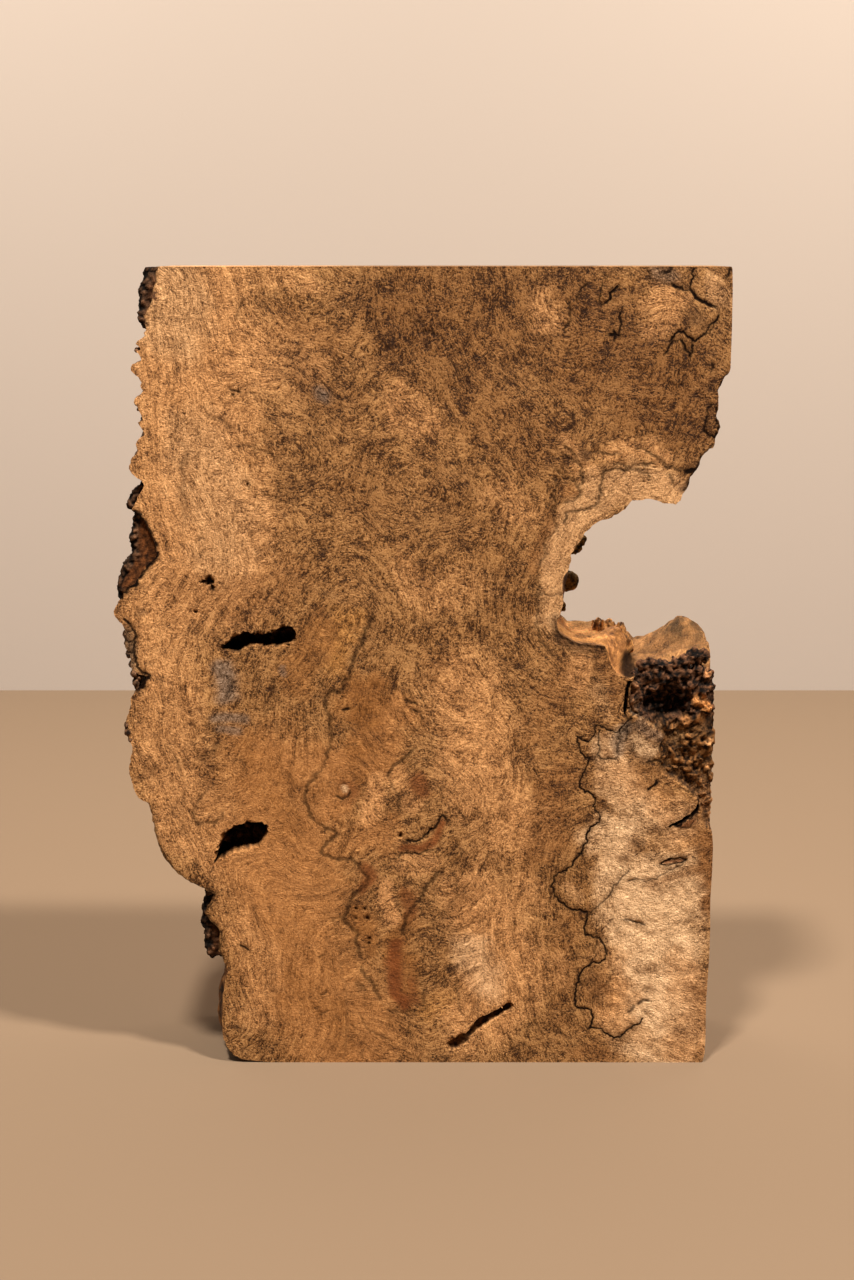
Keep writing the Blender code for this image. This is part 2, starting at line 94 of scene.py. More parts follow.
# Mesh steps: along the edges, over the front, over the back, and the depths of the cross sections
EDGE_STEP = 1.5
FRONT_STEP = 1.42
BACK_STEP = 2.9
SECTION_DEPTHS = [
    0.3, 0.9, 1.8, 3.0, 4.6, 6.6, 8.8, 11.0, 13.2, 15.4, 17.6, 19.8, 22.0, 24.2, 26.6, 29.0, 31.4, 33.8, 36.2,
    38.8, 41.4, 44.0, 46.8, 49.6, 52.4, 55.0, 57.2, 58.8, 59.7,
]

# Live edge on the left, from the top down: teeth, hollows under the bark, the tip and the wane
LEFT_EDGE = [
    (-122.0, 400.0), (-122.6, 396.0), (-122.2, 393.5), (-124.2, 389.5), (-124.8, 384.0), (-127.0, 380.2),
    (-129.0, 378.0), (-128.0, 374.0), (-127.6, 371.5), (-129.0, 369.5), (-128.4, 368.0), (-130.6, 366.6),
    (-133.0, 364.2), (-131.2, 363.2), (-130.0, 362.0), (-133.4, 361.2), (-131.4, 360.0), (-130.4, 356.6),
    (-133.0, 355.6), (-135.0, 354.2), (-135.6, 353.0), (-134.8, 351.2), (-132.6, 349.4), (-130.6, 346.8),
    (-131.4, 344.6), (-130.0, 342.4), (-131.8, 340.2), (-134.5, 338.2), (-134.4, 336.6), (-132.8, 335.0),
    (-132.4, 332.6), (-130.5, 329.2), (-133.2, 327.4), (-131.4, 325.0), (-129.8, 322.0), (-133.4, 319.4),
    (-134.2, 317.0), (-133.4, 313.6), (-137.0, 310.2), (-138.3, 306.6), (-137.6, 304.0), (-134.4, 301.2),
    (-131.2, 298.8), (-131.0, 297.0), (-133.2, 293.6), (-135.4, 289.6), (-137.8, 285.6), (-134.6, 284.2),
    (-131.2, 279.8), (-129.4, 274.8), (-127.0, 269.0), (-126.2, 264.6), (-127.2, 262.2), (-131.0, 259.0),
    (-134.5, 254.8), (-137.2, 249.8), (-141.0, 248.2), (-144.4, 243.0), (-146.8, 238.6), (-148.0, 235.6),
    (-147.2, 232.8), (-143.6, 229.8), (-143.0, 226.0), (-143.2, 221.4), (-142.6, 217.0), (-141.2, 213.6),
    (-140.4, 210.0), (-140.0, 206.0), (-136.6, 205.0), (-133.0, 203.6), (-135.4, 200.2), (-138.4, 196.8),
    (-141.0, 192.6), (-141.2, 188.8), (-143.2, 184.0), (-144.4, 180.0), (-143.6, 176.0), (-142.6, 171.4),
    (-141.2, 167.6), (-142.4, 162.4), (-143.5, 155.2), (-142.4, 150.6), (-141.2, 146.8), (-140.2, 142.8),
    (-137.2, 140.4), (-134.8, 139.4), (-133.0, 134.0), (-132.2, 127.0), (-130.8, 118.4), (-128.0, 111.4),
    (-124.0, 105.6), (-118.6, 100.0), (-113.0, 96.8), (-107.4, 93.6), (-103.0, 91.6), (-104.6, 87.4),
    (-108.4, 81.6), (-105.2, 77.0), (-102.2, 74.6), (-100.8, 71.0), (-101.0, 66.0), (-101.6, 61.6),
    (-99.4, 56.4), (-98.0, 52.6), (-97.4, 49.8), (-98.2, 45.6), (-99.4, 40.8), (-99.8, 35.0), (-100.4, 29.0),
    (-100.6, 22.0), (-100.4, 16.0), (-99.6, 11.0), (-97.8, 7.0), (-95.0, 3.6), (-90.6, 1.7), (-84.0, 0.9),
]
BOTTOM_EDGE = [(-76.0, 0.0), (145.0, 0.0)]

# Sawn right edge, with the front arris a little chipped
RIGHT_EDGE_FRONT = [
    (145.4, 0.0), (146.4, 5.0), (146.6, 15.0), (146.2, 32.0), (147.0, 58.0), (147.0, 74.0), (146.6, 88.0),
    (147.0, 102.0), (147.0, 116.0), (146.0, 126.0), (145.2, 140.0), (144.9, 152.0), (146.0, 169.0),
    (145.3, 180.0), (144.3, 189.0), (145.0, 198.0),
]
RIGHT_EDGE_BACK = [(SAWN_X, 0.0), (SAWN_X, 204.0)]

# Top of the burl bark in front, and the saddle and knob of wood behind it, from right to left
CROWN_FRONT = [(144.4, 203.0), (139.0, 203.8), (132.0, 205.0), (125.0, 205.0), (118.0, 205.6), (109.0, 204.4)]
CROWN_MIDDLE = [
    (147.0, 212.6), (141.0, 213.6), (132.0, 211.0), (124.0, 208.2), (116.0, 206.8), (108.0, 207.0),
]
CROWN_BACK = [
    (147.0, 215.4), (144.0, 218.6), (139.6, 220.6), (134.0, 220.6), (129.0, 217.4), (125.0, 214.6),
    (119.0, 212.0), (112.0, 210.6),
]

# Ledge at the foot of the notch, from right to left
LEDGE_FRONT = [
    (103.5, 203.0), (99.0, 203.6), (96.4, 205.6), (94.3, 208.8), (93.0, 212.4), (92.0, 216.4), (90.6, 219.2),
    (86.0, 219.6), (80.0, 219.9), (74.6, 221.4), (70.8, 223.8), (68.2, 226.6),
]
LEDGE_MIDDLE = [
    (106.0, 208.0), (104.6, 217.0), (100.0, 221.4), (93.0, 222.0), (86.0, 217.0), (76.0, 218.0),
    (69.4, 224.6),
]
LEDGE_BACK = [
    (111.0, 211.6), (106.6, 217.0), (101.0, 220.0), (92.0, 221.2), (86.0, 218.8), (76.0, 218.8),
    (70.0, 225.0),
]

# Wall and roof of the notch and the upper live edge, from the ledge up to the sawn corner
NOTCH_EDGE = [
    (66.8, 229.0), (67.2, 231.8), (69.2, 235.6), (69.6, 240.0), (69.9, 243.6), (69.4, 248.8), (70.2, 253.0),
    (72.4, 257.0), (73.4, 260.4), (73.0, 264.0), (75.2, 267.8), (78.2, 271.4), (80.0, 274.6), (83.4, 278.6),
    (87.0, 280.6), (92.0, 281.8), (95.4, 283.8), (98.8, 286.2), (102.2, 290.6), (107.0, 290.7),
    (110.8, 291.7), (114.6, 290.2), (118.0, 289.0), (123.4, 288.7), (125.2, 290.4), (126.0, 293.0),
    (129.0, 298.2), (130.2, 302.4), (132.8, 304.8), (134.6, 310.6), (136.6, 313.6), (140.2, 315.8),
    (141.2, 320.4), (143.0, 325.2), (142.8, 328.2), (141.2, 330.0), (141.8, 336.0), (142.0, 340.2),
    (141.2, 343.2), (144.2, 348.2), (146.6, 351.2),
]
UPPER_SAWN_EDGE = [(147.0, 353.0), (147.0, 372.0), (146.7, 390.0), (146.2, 400.0)]
UPPER_SAWN_BACK = [(147.0, 353.0), (147.0, 400.0)]
TOP_EDGE = [(140.0, 400.0), (-116.0, 400.0)]

# Each section of the outline: front, middle and back lines, and how ragged its surface is
SECTIONS = [
    (LEFT_EDGE, LEFT_EDGE, LEFT_EDGE, 1.0),
    (BOTTOM_EDGE, BOTTOM_EDGE, BOTTOM_EDGE, 0.0),
    (RIGHT_EDGE_FRONT, RIGHT_EDGE_BACK, RIGHT_EDGE_BACK, 0.0),
    (CROWN_FRONT, CROWN_MIDDLE, CROWN_BACK, 0.7),
    (LEDGE_FRONT, LEDGE_MIDDLE, LEDGE_BACK, 0.8),
    (NOTCH_EDGE, NOTCH_EDGE, NOTCH_EDGE, 0.9),
    (UPPER_SAWN_EDGE, UPPER_SAWN_BACK, UPPER_SAWN_BACK, 0.0),
    (TOP_EDGE, TOP_EDGE, TOP_EDGE, 0.0),
]

# Places where the edge is pulled over as it goes back: x, z, pull in x, reach, first and last depth
EDGE_PULLS = [
    (-101.0, 19.0, -5.4, 13.0, 0.0, 0.30),
    (-136.0, 203.0, -4.0, 7.0, 0.05, 0.25),
    (-128.0, 268.0, -6.0, 16.0, 0.30, 0.80),
    (-100.0, 72.0, -4.0, 16.0, 0.35, 0.85),
    (72.0, 250.0, 4.5, 24.0, 0.40, 0.85),
]

# Open hollows in the front face: depth, then stations of x, z and half width along the middle
HOLLOWS = {
    "worm_void": (13.0, [
        (-95.6, 218.3, 0.9), (-92.5, 218.6, 1.8), (-89.5, 219.3, 3.0), (-86.5, 221.0, 3.2),
        (-83.5, 222.7, 2.9), (-80.0, 222.6, 2.5), (-76.0, 222.2, 2.6), (-72.0, 222.2, 2.9),
        (-68.5, 222.9, 3.5), (-65.5, 224.0, 4.2), (-63.0, 224.7, 3.3), (-61.4, 225.2, 1.6),
    ]),
    "leaf_void": (15.0, [
        (-102.6, 107.9, 0.4), (-100.3, 110.9, 1.0), (-98.2, 113.8, 2.4), (-95.4, 117.0, 3.6),
        (-92.2, 119.5, 5.2), (-88.8, 121.3, 6.0), (-85.2, 122.0, 6.4), (-82.0, 123.2, 5.2),
        (-79.3, 125.0, 2.9), (-77.6, 126.0, 0.9),
    ]),
    "foot_void": (4.0, [
        (17.2, 9.4, 2.4), (19.9, 10.8, 4.1), (22.6, 12.8, 3.0), (24.7, 14.4, 1.5), (28.1, 18.5, 1.8),
        (30.8, 21.3, 2.9), (34.9, 24.1, 2.0), (39.0, 26.2, 2.2), (42.4, 28.3, 1.3), (45.2, 30.4, 2.0),
        (46.4, 31.6, 0.9),
    ]),
    "bark_crack": (11.0, [
        (103.0, 200.4, 0.8), (102.1, 198.0, 1.2), (101.8, 193.0, 1.1), (101.4, 188.0, 1.1),
        (101.2, 184.8, 0.5),
    ]),
    "edge_crack": (6.0, [
        (139.2, 139.5, 0.4), (138.4, 136.0, 0.8), (136.0, 133.0, 0.9), (132.5, 130.7, 0.9),
        (129.0, 128.6, 0.9), (124.8, 126.7, 0.6),
    ]),
    "eye_slit": (1.4, [
        (120.8, 107.2, 0.4), (124.0, 108.3, 0.9), (128.0, 109.0, 1.2), (131.5, 109.3, 1.0),
        (134.0, 109.5, 0.4),
    ]),
}
HOLLOW_STEP = 0.55
HOLLOW_LOOPS = [1.0, 0.9, 0.74, 0.5]
HOLLOW_PROFILE = [(0.0, 1.0), (0.5, 0.94), (0.74, 0.8), (0.9, 0.42), (1.0, 0.0)]

# Small worm holes and pits: x, z, radius and depth
PITS = [
    (-32.0, 83.7, 0.7, 1.6), (-27.4, 83.7, 0.6, 1.4), (-32.2, 78.8, 0.7, 1.6), (-26.2, 78.3, 0.7, 1.6),
    (-31.2, 75.5, 0.4, 0.8), (-25.1, 67.6, 0.5, 1.2), (-25.3, 65.5, 0.5, 1.2), (-11.4, 67.0, 0.5, 1.0),
    (-15.5, 60.8, 0.6, 1.2), (-9.3, 122.3, 0.9, 2.0), (4.4, 123.2, 0.6, 1.2), (6.2, 125.5, 0.7, 1.6),
    (0.3, 116.4, 0.6, 1.0), (-36.6, 148.8, 0.5, 1.2), (-105.2, 251.3, 0.8, 2.0), (-103.4, 250.8, 1.0, 3.0),
    (-101.6, 251.8, 1.5, 3.0), (-100.0, 250.8, 1.3, 3.0), (-102.2, 249.8, 1.1, 3.0),
    (-101.4, 253.4, 0.9, 2.0), (-99.6, 247.9, 1.1, 2.0), (-106.3, 247.5, 0.5, 1.2), (-108.9, 236.0, 0.8, 1.4),
    (-91.2, 343.5, 0.8, 1.6), (-82.0, 298.2, 0.9, 1.0), (-102.7, 173.0, 0.6, 1.0), (-94.9, 299.6, 0.5, 0.8),
    (-122.0, 247.9, 0.5, 0.8), (-98.9, 260.8, 0.5, 0.8), (-127.9, 222.4, 0.5, 0.8), (-123.5, 227.4, 0.4, 0.8),
    (-121.2, 226.9, 0.4, 0.8), (-89.0, 229.3, 0.4, 0.8), (-96.1, 281.7, 0.4, 0.8), (-87.6, 341.0, 0.6, 1.0),
    (-79.0, 368.0, 0.4, 0.8),
]

# Dark lines of the spalting and of the growth: half width, strength, and points
LINES = {
    "zone_upper": (0.4, 1.0, [
        (78.1, 173.5), (79.7, 172.2), (82.8, 171.2), (85.7, 172.2), (86.2, 175.5), (86.5, 178.1),
        (88.7, 179.0), (92.8, 177.1), (97.2, 175.1), (99.7, 177.4), (102.1, 180.6), (104.6, 182.9),
    ]),
    "zone_top": (0.4, 0.85, [(101.4, 184.5), (102.8, 182.3), (105.2, 184.2), (107.6, 185.1)]),
    "zone_smear": (0.5, 0.7, [
        (104.6, 181.9), (102.1, 179.0), (99.8, 176.1), (98.0, 173.2), (99.1, 170.9), (97.5, 166.3),
        (98.7, 164.0),
    ]),
    "zone_island": (0.38, 0.95, [
        (89.0, 176.4), (88.5, 172.2), (88.9, 168.3), (88.4, 165.0), (90.0, 161.8), (92.5, 162.2),
        (95.0, 162.4), (97.6, 161.6),
    ]),
    "zone_twig": (0.4, 0.8, [(102.3, 172.2), (103.0, 174.8), (101.6, 177.4), (104.6, 179.7), (107.1, 180.6)]),
    "zone_dash": (0.5, 0.85, [(113.3, 160.4), (117.1, 160.9), (121.5, 159.7)]),
    "corner": (0.45, 1.0, [
        (128.9, 399.5), (127.5, 397.8), (127.7, 395.2), (126.9, 392.6), (126.6, 391.2), (127.4, 389.2),
    ]),
    "corner_thick": (0.75, 1.0, [
        (118.6, 391.5), (120.9, 390.8), (123.2, 389.7), (126.2, 389.2), (127.4, 388.2), (129.3, 386.7),
        (131.3, 385.5), (132.8, 384.5), (134.8, 383.4), (136.7, 382.3), (139.0, 381.0),
    ]),
    "corner_loop": (0.45, 1.0, [
        (116.3, 360.2), (117.2, 362.4), (118.7, 364.7), (119.7, 367.7), (120.0, 369.3), (121.9, 369.9),
        (124.2, 370.5), (125.7, 369.6), (126.5, 367.7), (128.1, 366.2), (129.7, 365.4), (131.1, 366.6),
        (133.0, 368.1), (134.5, 369.6), (135.5, 371.4), (137.4, 373.7), (139.6, 375.9), (140.6, 377.8),
    ]),
    "corner_side": (0.32, 0.9, [(133.0, 368.3), (137.1, 369.6), (137.8, 372.2), (138.9, 374.3)]),
    "corner_inner": (0.34, 0.85, [
        (117.2, 363.2), (119.0, 365.1), (121.3, 366.2), (123.9, 365.8), (124.0, 363.9),
    ]),
    "corner_wedge": (0.7, 1.0, [
        (123.5, 366.2), (124.4, 364.3), (125.9, 362.8), (126.4, 360.9), (127.6, 358.5), (129.0, 360.6),
        (127.8, 362.4), (128.9, 363.8),
    ]),
    "hook": (0.36, 0.95, [
        (87.5, 383.2), (84.8, 382.6), (84.4, 383.7), (85.3, 386.3), (85.1, 388.9), (85.8, 391.5),
    ]),
    "hook_thick": (0.6, 1.0, [
        (93.0, 391.0), (91.1, 389.7), (90.0, 388.2), (89.3, 386.3), (88.9, 384.9), (87.5, 383.2),
    ]),
    "blot": (0.8, 1.0, [(90.0, 368.8), (91.9, 369.3), (94.4, 368.3)]),
    "blot_cross": (0.55, 1.0, [(91.5, 370.5), (92.7, 368.8), (92.0, 366.8)]),
    "blot_tail": (0.42, 0.95, [(94.5, 378.9), (94.0, 376.3), (95.1, 375.2), (94.5, 372.2), (94.1, 369.6)]),
    "stroke_edge": (0.5, 0.95, [(114.7, 397.1), (116.9, 397.8), (118.0, 398.8), (117.3, 399.5)]),
    "stroke_corner": (0.5, 0.85, [(145.1, 399.3), (144.5, 396.7), (143.4, 394.5)]),
    "streak_a": (0.45, 0.85, [(78.2, 391.9), (75.6, 389.3), (74.5, 387.1), (73.8, 384.9)]),
    "streak_b": (0.5, 0.85, [(70.7, 383.4), (70.5, 379.7), (71.3, 376.7), (70.2, 374.1), (68.4, 371.4)]),
    "right_speck": (0.6, 0.8, [(138.3, 355.3), (139.0, 353.5), (138.1, 352.5)]),
    "upper_bevel": (0.4, 0.95, [(146.5, 351.0), (145.1, 349.2), (143.3, 346.2), (141.8, 343.9)]),
    "upper_rim": (0.6, 1.0, [
        (141.1, 334.8), (141.7, 331.7), (141.5, 329.8), (142.5, 327.5), (142.4, 324.5), (141.1, 321.3),
    ]),
    "upper_crack": (0.5, 0.9, [
        (138.6, 335.9), (137.2, 334.0), (136.7, 331.0), (136.0, 326.8), (135.8, 325.1), (135.2, 323.6),
    ]),
    "upper_black": (0.6, 1.0, [(135.4, 323.7), (137.2, 322.6), (139.2, 320.8), (141.3, 320.3)]),
    "upper_foot": (0.5, 0.85, [
        (140.4, 317.2), (137.8, 314.5), (135.2, 311.8), (133.1, 306.8), (130.5, 302.1), (129.5, 299.0),
        (126.9, 295.5),
    ]),
    "upper_blot": (1.2, 1.0, [(127.8, 304.3), (129.7, 304.9), (132.0, 304.8)]),
    "flow_a": (0.6, 0.7, [(85.1, 314.1), (88.6, 312.6), (91.7, 312.8), (96.3, 312.8)]),
    "flow_b": (0.6, 0.72, [
        (103.9, 315.3), (107.8, 314.9), (110.1, 313.3), (113.3, 311.4), (115.7, 308.7), (118.8, 306.8),
        (122.7, 305.8), (127.4, 304.4),
    ]),
    "flow_c": (0.6, 0.6, [
        (69.3, 316.8), (73.2, 313.3), (76.3, 309.5), (78.1, 305.2), (78.6, 301.3), (78.2, 298.2),
    ]),
    "flow_d": (0.5, 0.5, [
        (65.6, 305.2), (69.5, 302.1), (73.4, 300.6), (76.2, 297.5), (77.0, 294.4), (76.3, 292.0),
    ]),
    "flow_e": (0.5, 0.6, [(119.7, 302.9), (120.9, 301.0), (121.4, 299.0)]),
    "flow_f": (0.6, 0.65, [
        (94.1, 307.4), (96.4, 308.3), (98.8, 306.1), (101.1, 306.0), (104.2, 304.4), (107.3, 302.9),
        (110.5, 301.7),
    ]),
    "stroke_top": (0.34, 0.7, [(106.0, 399.6), (107.4, 397.4), (108.0, 395.0)]),
    "stroke_hook": (0.34, 0.7, [(86.0, 397.0), (87.4, 395.6), (88.6, 395.2)]),
    "streak_c": (0.4, 0.55, [(69.5, 360.0), (71.0, 361.4), (73.0, 362.0)]),
    "streak_d": (0.6, 0.5, [(-4.4, 378.0), (-1.0, 375.6), (4.0, 371.4), (8.0, 369.0)]),
    "notch_contour": (0.62, 0.74, [
        (70.0, 280.0), (70.4, 283.1), (73.1, 284.6), (76.9, 285.4), (80.8, 286.5), (84.2, 287.3),
        (86.2, 289.2), (86.5, 293.1), (87.3, 299.2), (88.1, 304.6), (91.5, 305.4), (95.4, 305.8),
        (100.0, 305.4), (105.0, 308.0), (110.0, 307.6), (115.0, 309.4),
    ]),
    "notch_ring": (0.55, 0.68, [
        (69.2, 312.3), (73.8, 310.0), (77.3, 307.0), (78.1, 301.5), (76.5, 297.7), (76.9, 293.8),
        (74.6, 290.0), (70.0, 289.4),
    ]),
    "notch_inner": (0.5, 0.6, [(64.6, 300.8), (66.2, 296.9), (63.1, 293.1), (66.2, 290.0), (64.2, 286.9)]),
    "wall_contour": (0.6, 0.5, [
        (64.2, 286.9), (64.6, 282.3), (66.5, 277.7), (63.8, 273.1), (60.0, 270.8), (60.8, 264.6),
        (58.5, 259.2), (56.9, 254.6), (57.7, 248.5), (57.7, 237.7), (57.3, 228.5), (60.0, 221.0),
        (66.0, 214.0),
    ]),
    "wall_cross": (0.4, 0.6, [(55.4, 244.2), (60.0, 245.0), (65.0, 244.2), (69.2, 244.6)]),
    "zone": (0.42, 1.0, [
        (78.0, 173.5), (79.0, 168.0), (80.0, 165.0), (82.0, 163.0), (84.5, 162.0), (83.0, 158.0),
        (81.0, 154.0), (80.0, 150.0), (79.5, 147.0), (82.0, 145.0), (86.0, 144.0), (87.0, 142.0),
        (88.5, 140.0), (86.5, 137.0), (88.0, 135.0), (90.5, 132.5), (90.0, 129.0), (86.0, 127.0),
        (84.0, 123.0), (84.0, 120.0), (82.0, 115.0), (79.0, 110.0), (75.0, 105.0), (70.0, 102.0),
        (68.0, 100.0), (67.0, 96.0), (67.5, 93.0), (69.0, 90.0), (70.0, 87.0), (74.0, 85.0), (79.0, 83.0),
        (82.0, 83.0), (84.0, 81.0), (85.0, 79.0), (84.0, 76.0), (83.0, 73.0), (84.0, 70.0), (87.0, 69.0),
        (91.0, 68.0), (93.0, 65.0), (95.0, 61.0), (94.0, 57.0), (92.0, 55.0), (88.0, 55.0), (84.0, 52.0),
        (82.0, 50.0), (81.0, 46.0), (80.0, 42.0), (79.6, 36.0), (80.0, 30.0), (84.0, 29.5), (88.0, 28.0),
        (89.0, 25.0), (88.0, 21.0), (86.0, 19.0), (90.0, 19.0), (93.0, 18.0), (97.0, 15.0), (100.0, 13.5),
        (103.0, 13.5), (105.0, 16.0), (108.0, 18.5), (112.0, 21.0), (114.0, 24.0),
    ]),
    "zone_side": (0.34, 0.7, [(90.0, 68.0), (89.0, 62.0), (89.5, 58.0), (87.0, 55.0)]),
    "zone_tail": (0.5, 0.5, [(99.0, 50.0), (97.0, 45.0), (92.0, 40.0)]),
    "zone_crumb_a": (0.8, 0.75, [(107.0, 27.6), (109.0, 29.4), (109.6, 31.0)]),
    "zone_crumb_b": (0.7, 0.8, [(112.0, 32.0), (114.4, 33.6), (117.0, 33.8)]),
    "zone_branch": (0.34, 0.85, [
        (86.0, 80.3), (88.0, 82.7), (90.4, 85.1), (93.5, 87.4), (95.2, 90.0), (96.8, 92.0), (97.7, 94.9),
        (99.4, 96.7), (101.1, 98.7), (103.2, 101.5), (105.1, 103.3),
    ]),
    "zone_eye_top": (0.42, 1.0, [
        (121.2, 106.9), (122.9, 108.4), (125.5, 109.3), (128.0, 110.0), (130.9, 110.2), (134.0, 109.5),
    ]),
    "zone_eye_low": (0.34, 0.95, [
        (121.2, 106.9), (123.7, 106.5), (126.8, 106.9), (130.0, 107.5), (132.1, 108.4), (134.0, 109.5),
    ]),
    "zone_eye_tail": (0.34, 0.8, [
        (133.8, 108.9), (132.2, 106.9), (129.3, 105.1), (125.7, 103.3), (122.4, 101.5), (118.8, 99.7),
        (114.7, 98.2), (110.5, 98.7), (107.4, 99.0), (105.2, 97.9),
    ]),
    "punk_crack": (0.62, 1.0, [
        (125.0, 126.7), (126.9, 127.8), (129.4, 127.3), (131.5, 129.3), (133.6, 130.5), (135.8, 131.3),
        (137.4, 133.6), (139.0, 135.3), (139.4, 137.3),
    ]),
    "punk_under": (0.36, 0.8, [
        (127.0, 127.0), (129.6, 126.2), (132.8, 125.2), (135.4, 126.7), (137.0, 129.8),
    ]),
    "punk_stroke": (0.5, 0.85, [(104.2, 77.8), (107.2, 77.0), (110.1, 75.7), (113.8, 75.0)]),
    "punk_side": (0.5, 0.4, [
        (90.5, 67.6), (93.3, 64.8), (94.3, 60.4), (96.2, 55.2), (97.8, 48.6), (96.4, 43.3),
    ]),
    "punk_step": (0.5, 0.55, [(127.3, 146.4), (131.0, 145.9), (134.6, 144.9), (137.8, 142.9)]),
    "punk_slit": (0.75, 1.0, [(113.7, 146.0), (116.2, 147.6), (118.7, 149.3), (117.7, 150.6)]),
    "zone_faint": (0.4, 0.4, [(103.0, 77.5), (108.0, 76.6), (114.0, 75.0)]),
    "heart_upper": (0.95, 0.66, [
        (-22.5, 233.6), (-25.6, 227.7), (-27.0, 222.3), (-30.2, 216.8), (-31.5, 213.2), (-32.9, 208.6),
        (-34.3, 204.1), (-35.6, 201.8), (-37.5, 200.0), (-36.1, 198.2), (-38.8, 196.8), (-43.8, 195.9),
        (-45.6, 193.6), (-46.1, 188.6), (-43.8, 183.2), (-44.1, 178.6), (-43.4, 174.1), (-43.4, 170.5),
    ]),
    "heart_middle": (0.8, 0.66, [
        (-43.4, 170.5), (-45.2, 165.9), (-46.1, 160.5), (-48.4, 155.9), (-52.0, 151.4), (-55.2, 148.6),
        (-56.1, 142.3), (-55.6, 135.9), (-53.8, 131.4), (-49.3, 127.7), (-44.7, 125.5), (-40.6, 123.6),
        (-43.4, 121.4), (-46.5, 117.7), (-49.3, 113.6), (-45.3, 110.9), (-40.3, 109.7), (-33.7, 110.1),
    ]),
    "heart_lower": (0.95, 0.68, [
        (-33.7, 110.1), (-31.2, 107.2), (-27.8, 103.8), (-25.8, 99.7), (-27.0, 95.5), (-31.2, 93.0),
        (-34.1, 89.7), (-35.3, 85.5), (-37.0, 81.3), (-38.3, 77.2), (-34.9, 74.7), (-32.4, 71.8),
        (-31.0, 69.7), (-31.8, 64.7), (-30.8, 60.5), (-29.1, 58.4),
    ]),
    "heart_foot": (0.9, 0.6, [
        (-29.5, 52.2), (-28.6, 49.4), (-27.4, 47.2), (-24.1, 44.7), (-22.0, 39.0), (-19.7, 35.0),
    ]),
    "heart_blot": (1.4, 0.5, [(-31.4, 43.6), (-29.0, 41.4)]),
    "heart_right": (0.85, 0.68, [
        (10.5, 103.0), (7.2, 100.1), (3.8, 95.5), (1.3, 90.5), (-1.2, 86.3), (-5.3, 81.3), (-7.4, 77.2),
        (-8.4, 70.0),
    ]),
    "heart_arc": (0.6, 0.5, [(-16.2, 28.8), (-12.0, 27.6), (-7.0, 27.2), (-3.7, 28.4)]),
    "heart_rim": (0.5, 0.36, [(0.1, 51.3), (0.5, 47.2), (1.8, 38.8), (2.2, 32.2)]),
    "heart_dash": (0.6, 0.95, [(-37.5, 186.8), (-34.5, 187.5)]),
    "heart_mark_a": (0.45, 0.9, [(-5.6, 191.8), (-3.4, 190.7), (-1.8, 190.3)]),
    "heart_mark_b": (0.5, 0.9, [(-2.6, 186.9), (-1.1, 186.1)]),
    "heart_thread": (0.3, 0.5, [
        (-1.1, 186.1), (0.7, 185.5), (1.6, 182.3), (1.2, 178.6), (-1.1, 176.4), (-3.8, 173.6),
    ]),
    "heart_mouth": (0.75, 0.7, [
        (-1.5, 167.7), (-5.6, 164.1), (-8.4, 160.9), (-12.0, 158.6), (-14.7, 155.5), (-15.6, 153.2),
    ]),
    "heart_chin": (0.5, 0.5, [
        (-15.6, 153.2), (-14.0, 150.0), (-12.5, 146.8), (-10.6, 142.3), (-10.0, 136.0),
    ]),
    "eye_arc": (0.55, 0.8, [(-40.4, 142.6), (-38.9, 141.5), (-37.0, 141.4), (-35.2, 142.9), (-34.2, 144.6)]),
    "eye_top": (0.3, 0.5, [(-40.6, 144.6), (-40.6, 147.4), (-38.6, 149.2), (-36.0, 149.0)]),
    "red_crack": (0.5, 0.95, [
        (-6.0, 119.6), (-2.0, 119.1), (2.1, 120.9), (4.4, 123.2), (6.2, 125.5), (8.9, 126.8), (9.4, 130.5),
        (10.7, 131.8), (13.0, 132.0), (13.9, 130.0),
    ]),
    "red_under": (0.4, 0.8, [
        (-10.2, 110.5), (-8.4, 113.2), (-3.8, 112.7), (0.7, 112.7), (3.5, 114.1), (5.6, 118.0),
    ]),
    "dash_a": (0.5, 0.55, [(-50.6, 57.6), (-48.4, 58.9)]),
    "dash_b": (0.5, 0.6, [(-50.0, 37.0), (-47.0, 38.6)]),
    "dash_c": (0.5, 0.6, [(-49.6, 26.8), (-46.8, 28.2)]),
    "dash_d": (0.4, 0.55, [(-43.4, 77.6), (-39.8, 79.0)]),
    "foot_thread": (0.45, 0.45, [(-30.3, 26.3), (-28.7, 22.2), (-26.2, 18.0), (-20.3, 14.7), (-15.3, 12.2)]),
    "foot_fleck": (0.5, 0.4, [(-35.3, 21.3), (-32.8, 18.8)]),
    "right_thread": (0.45, 0.42, [(18.8, 40.5), (19.7, 34.7), (21.3, 28.0), (23.0, 25.5)]),
    "right_arc": (0.5, 0.3, [(13.0, 81.3), (15.5, 85.5), (20.5, 92.2), (25.5, 97.2)]),
    "right_shelf": (0.5, 0.3, [(13.0, 71.3), (19.7, 72.2), (24.7, 73.8), (30.0, 77.0)]),
    "left_arc": (0.7, 0.5, [
        (-105.0, 145.8), (-109.6, 141.2), (-111.9, 135.0), (-112.3, 131.2), (-109.6, 128.1), (-106.5, 129.2),
        (-101.9, 128.5), (-98.5, 131.9), (-97.7, 134.2),
    ]),
    "left_outer": (0.6, 0.24, [(-115.8, 145.8), (-117.7, 138.0), (-117.3, 126.5), (-115.0, 121.9)]),
    "left_line": (0.7, 0.45, [(-125.0, 168.0), (-120.4, 164.2), (-119.2, 159.6), (-118.1, 154.2)]),
    "left_patch": (1.3, 0.36, [(-108.0, 161.2), (-105.0, 163.6), (-101.9, 165.0), (-99.0, 170.0)]),
    "left_hook": (0.6, 0.4, [(-72.0, 203.0), (-70.0, 199.6), (-71.2, 196.5)]),
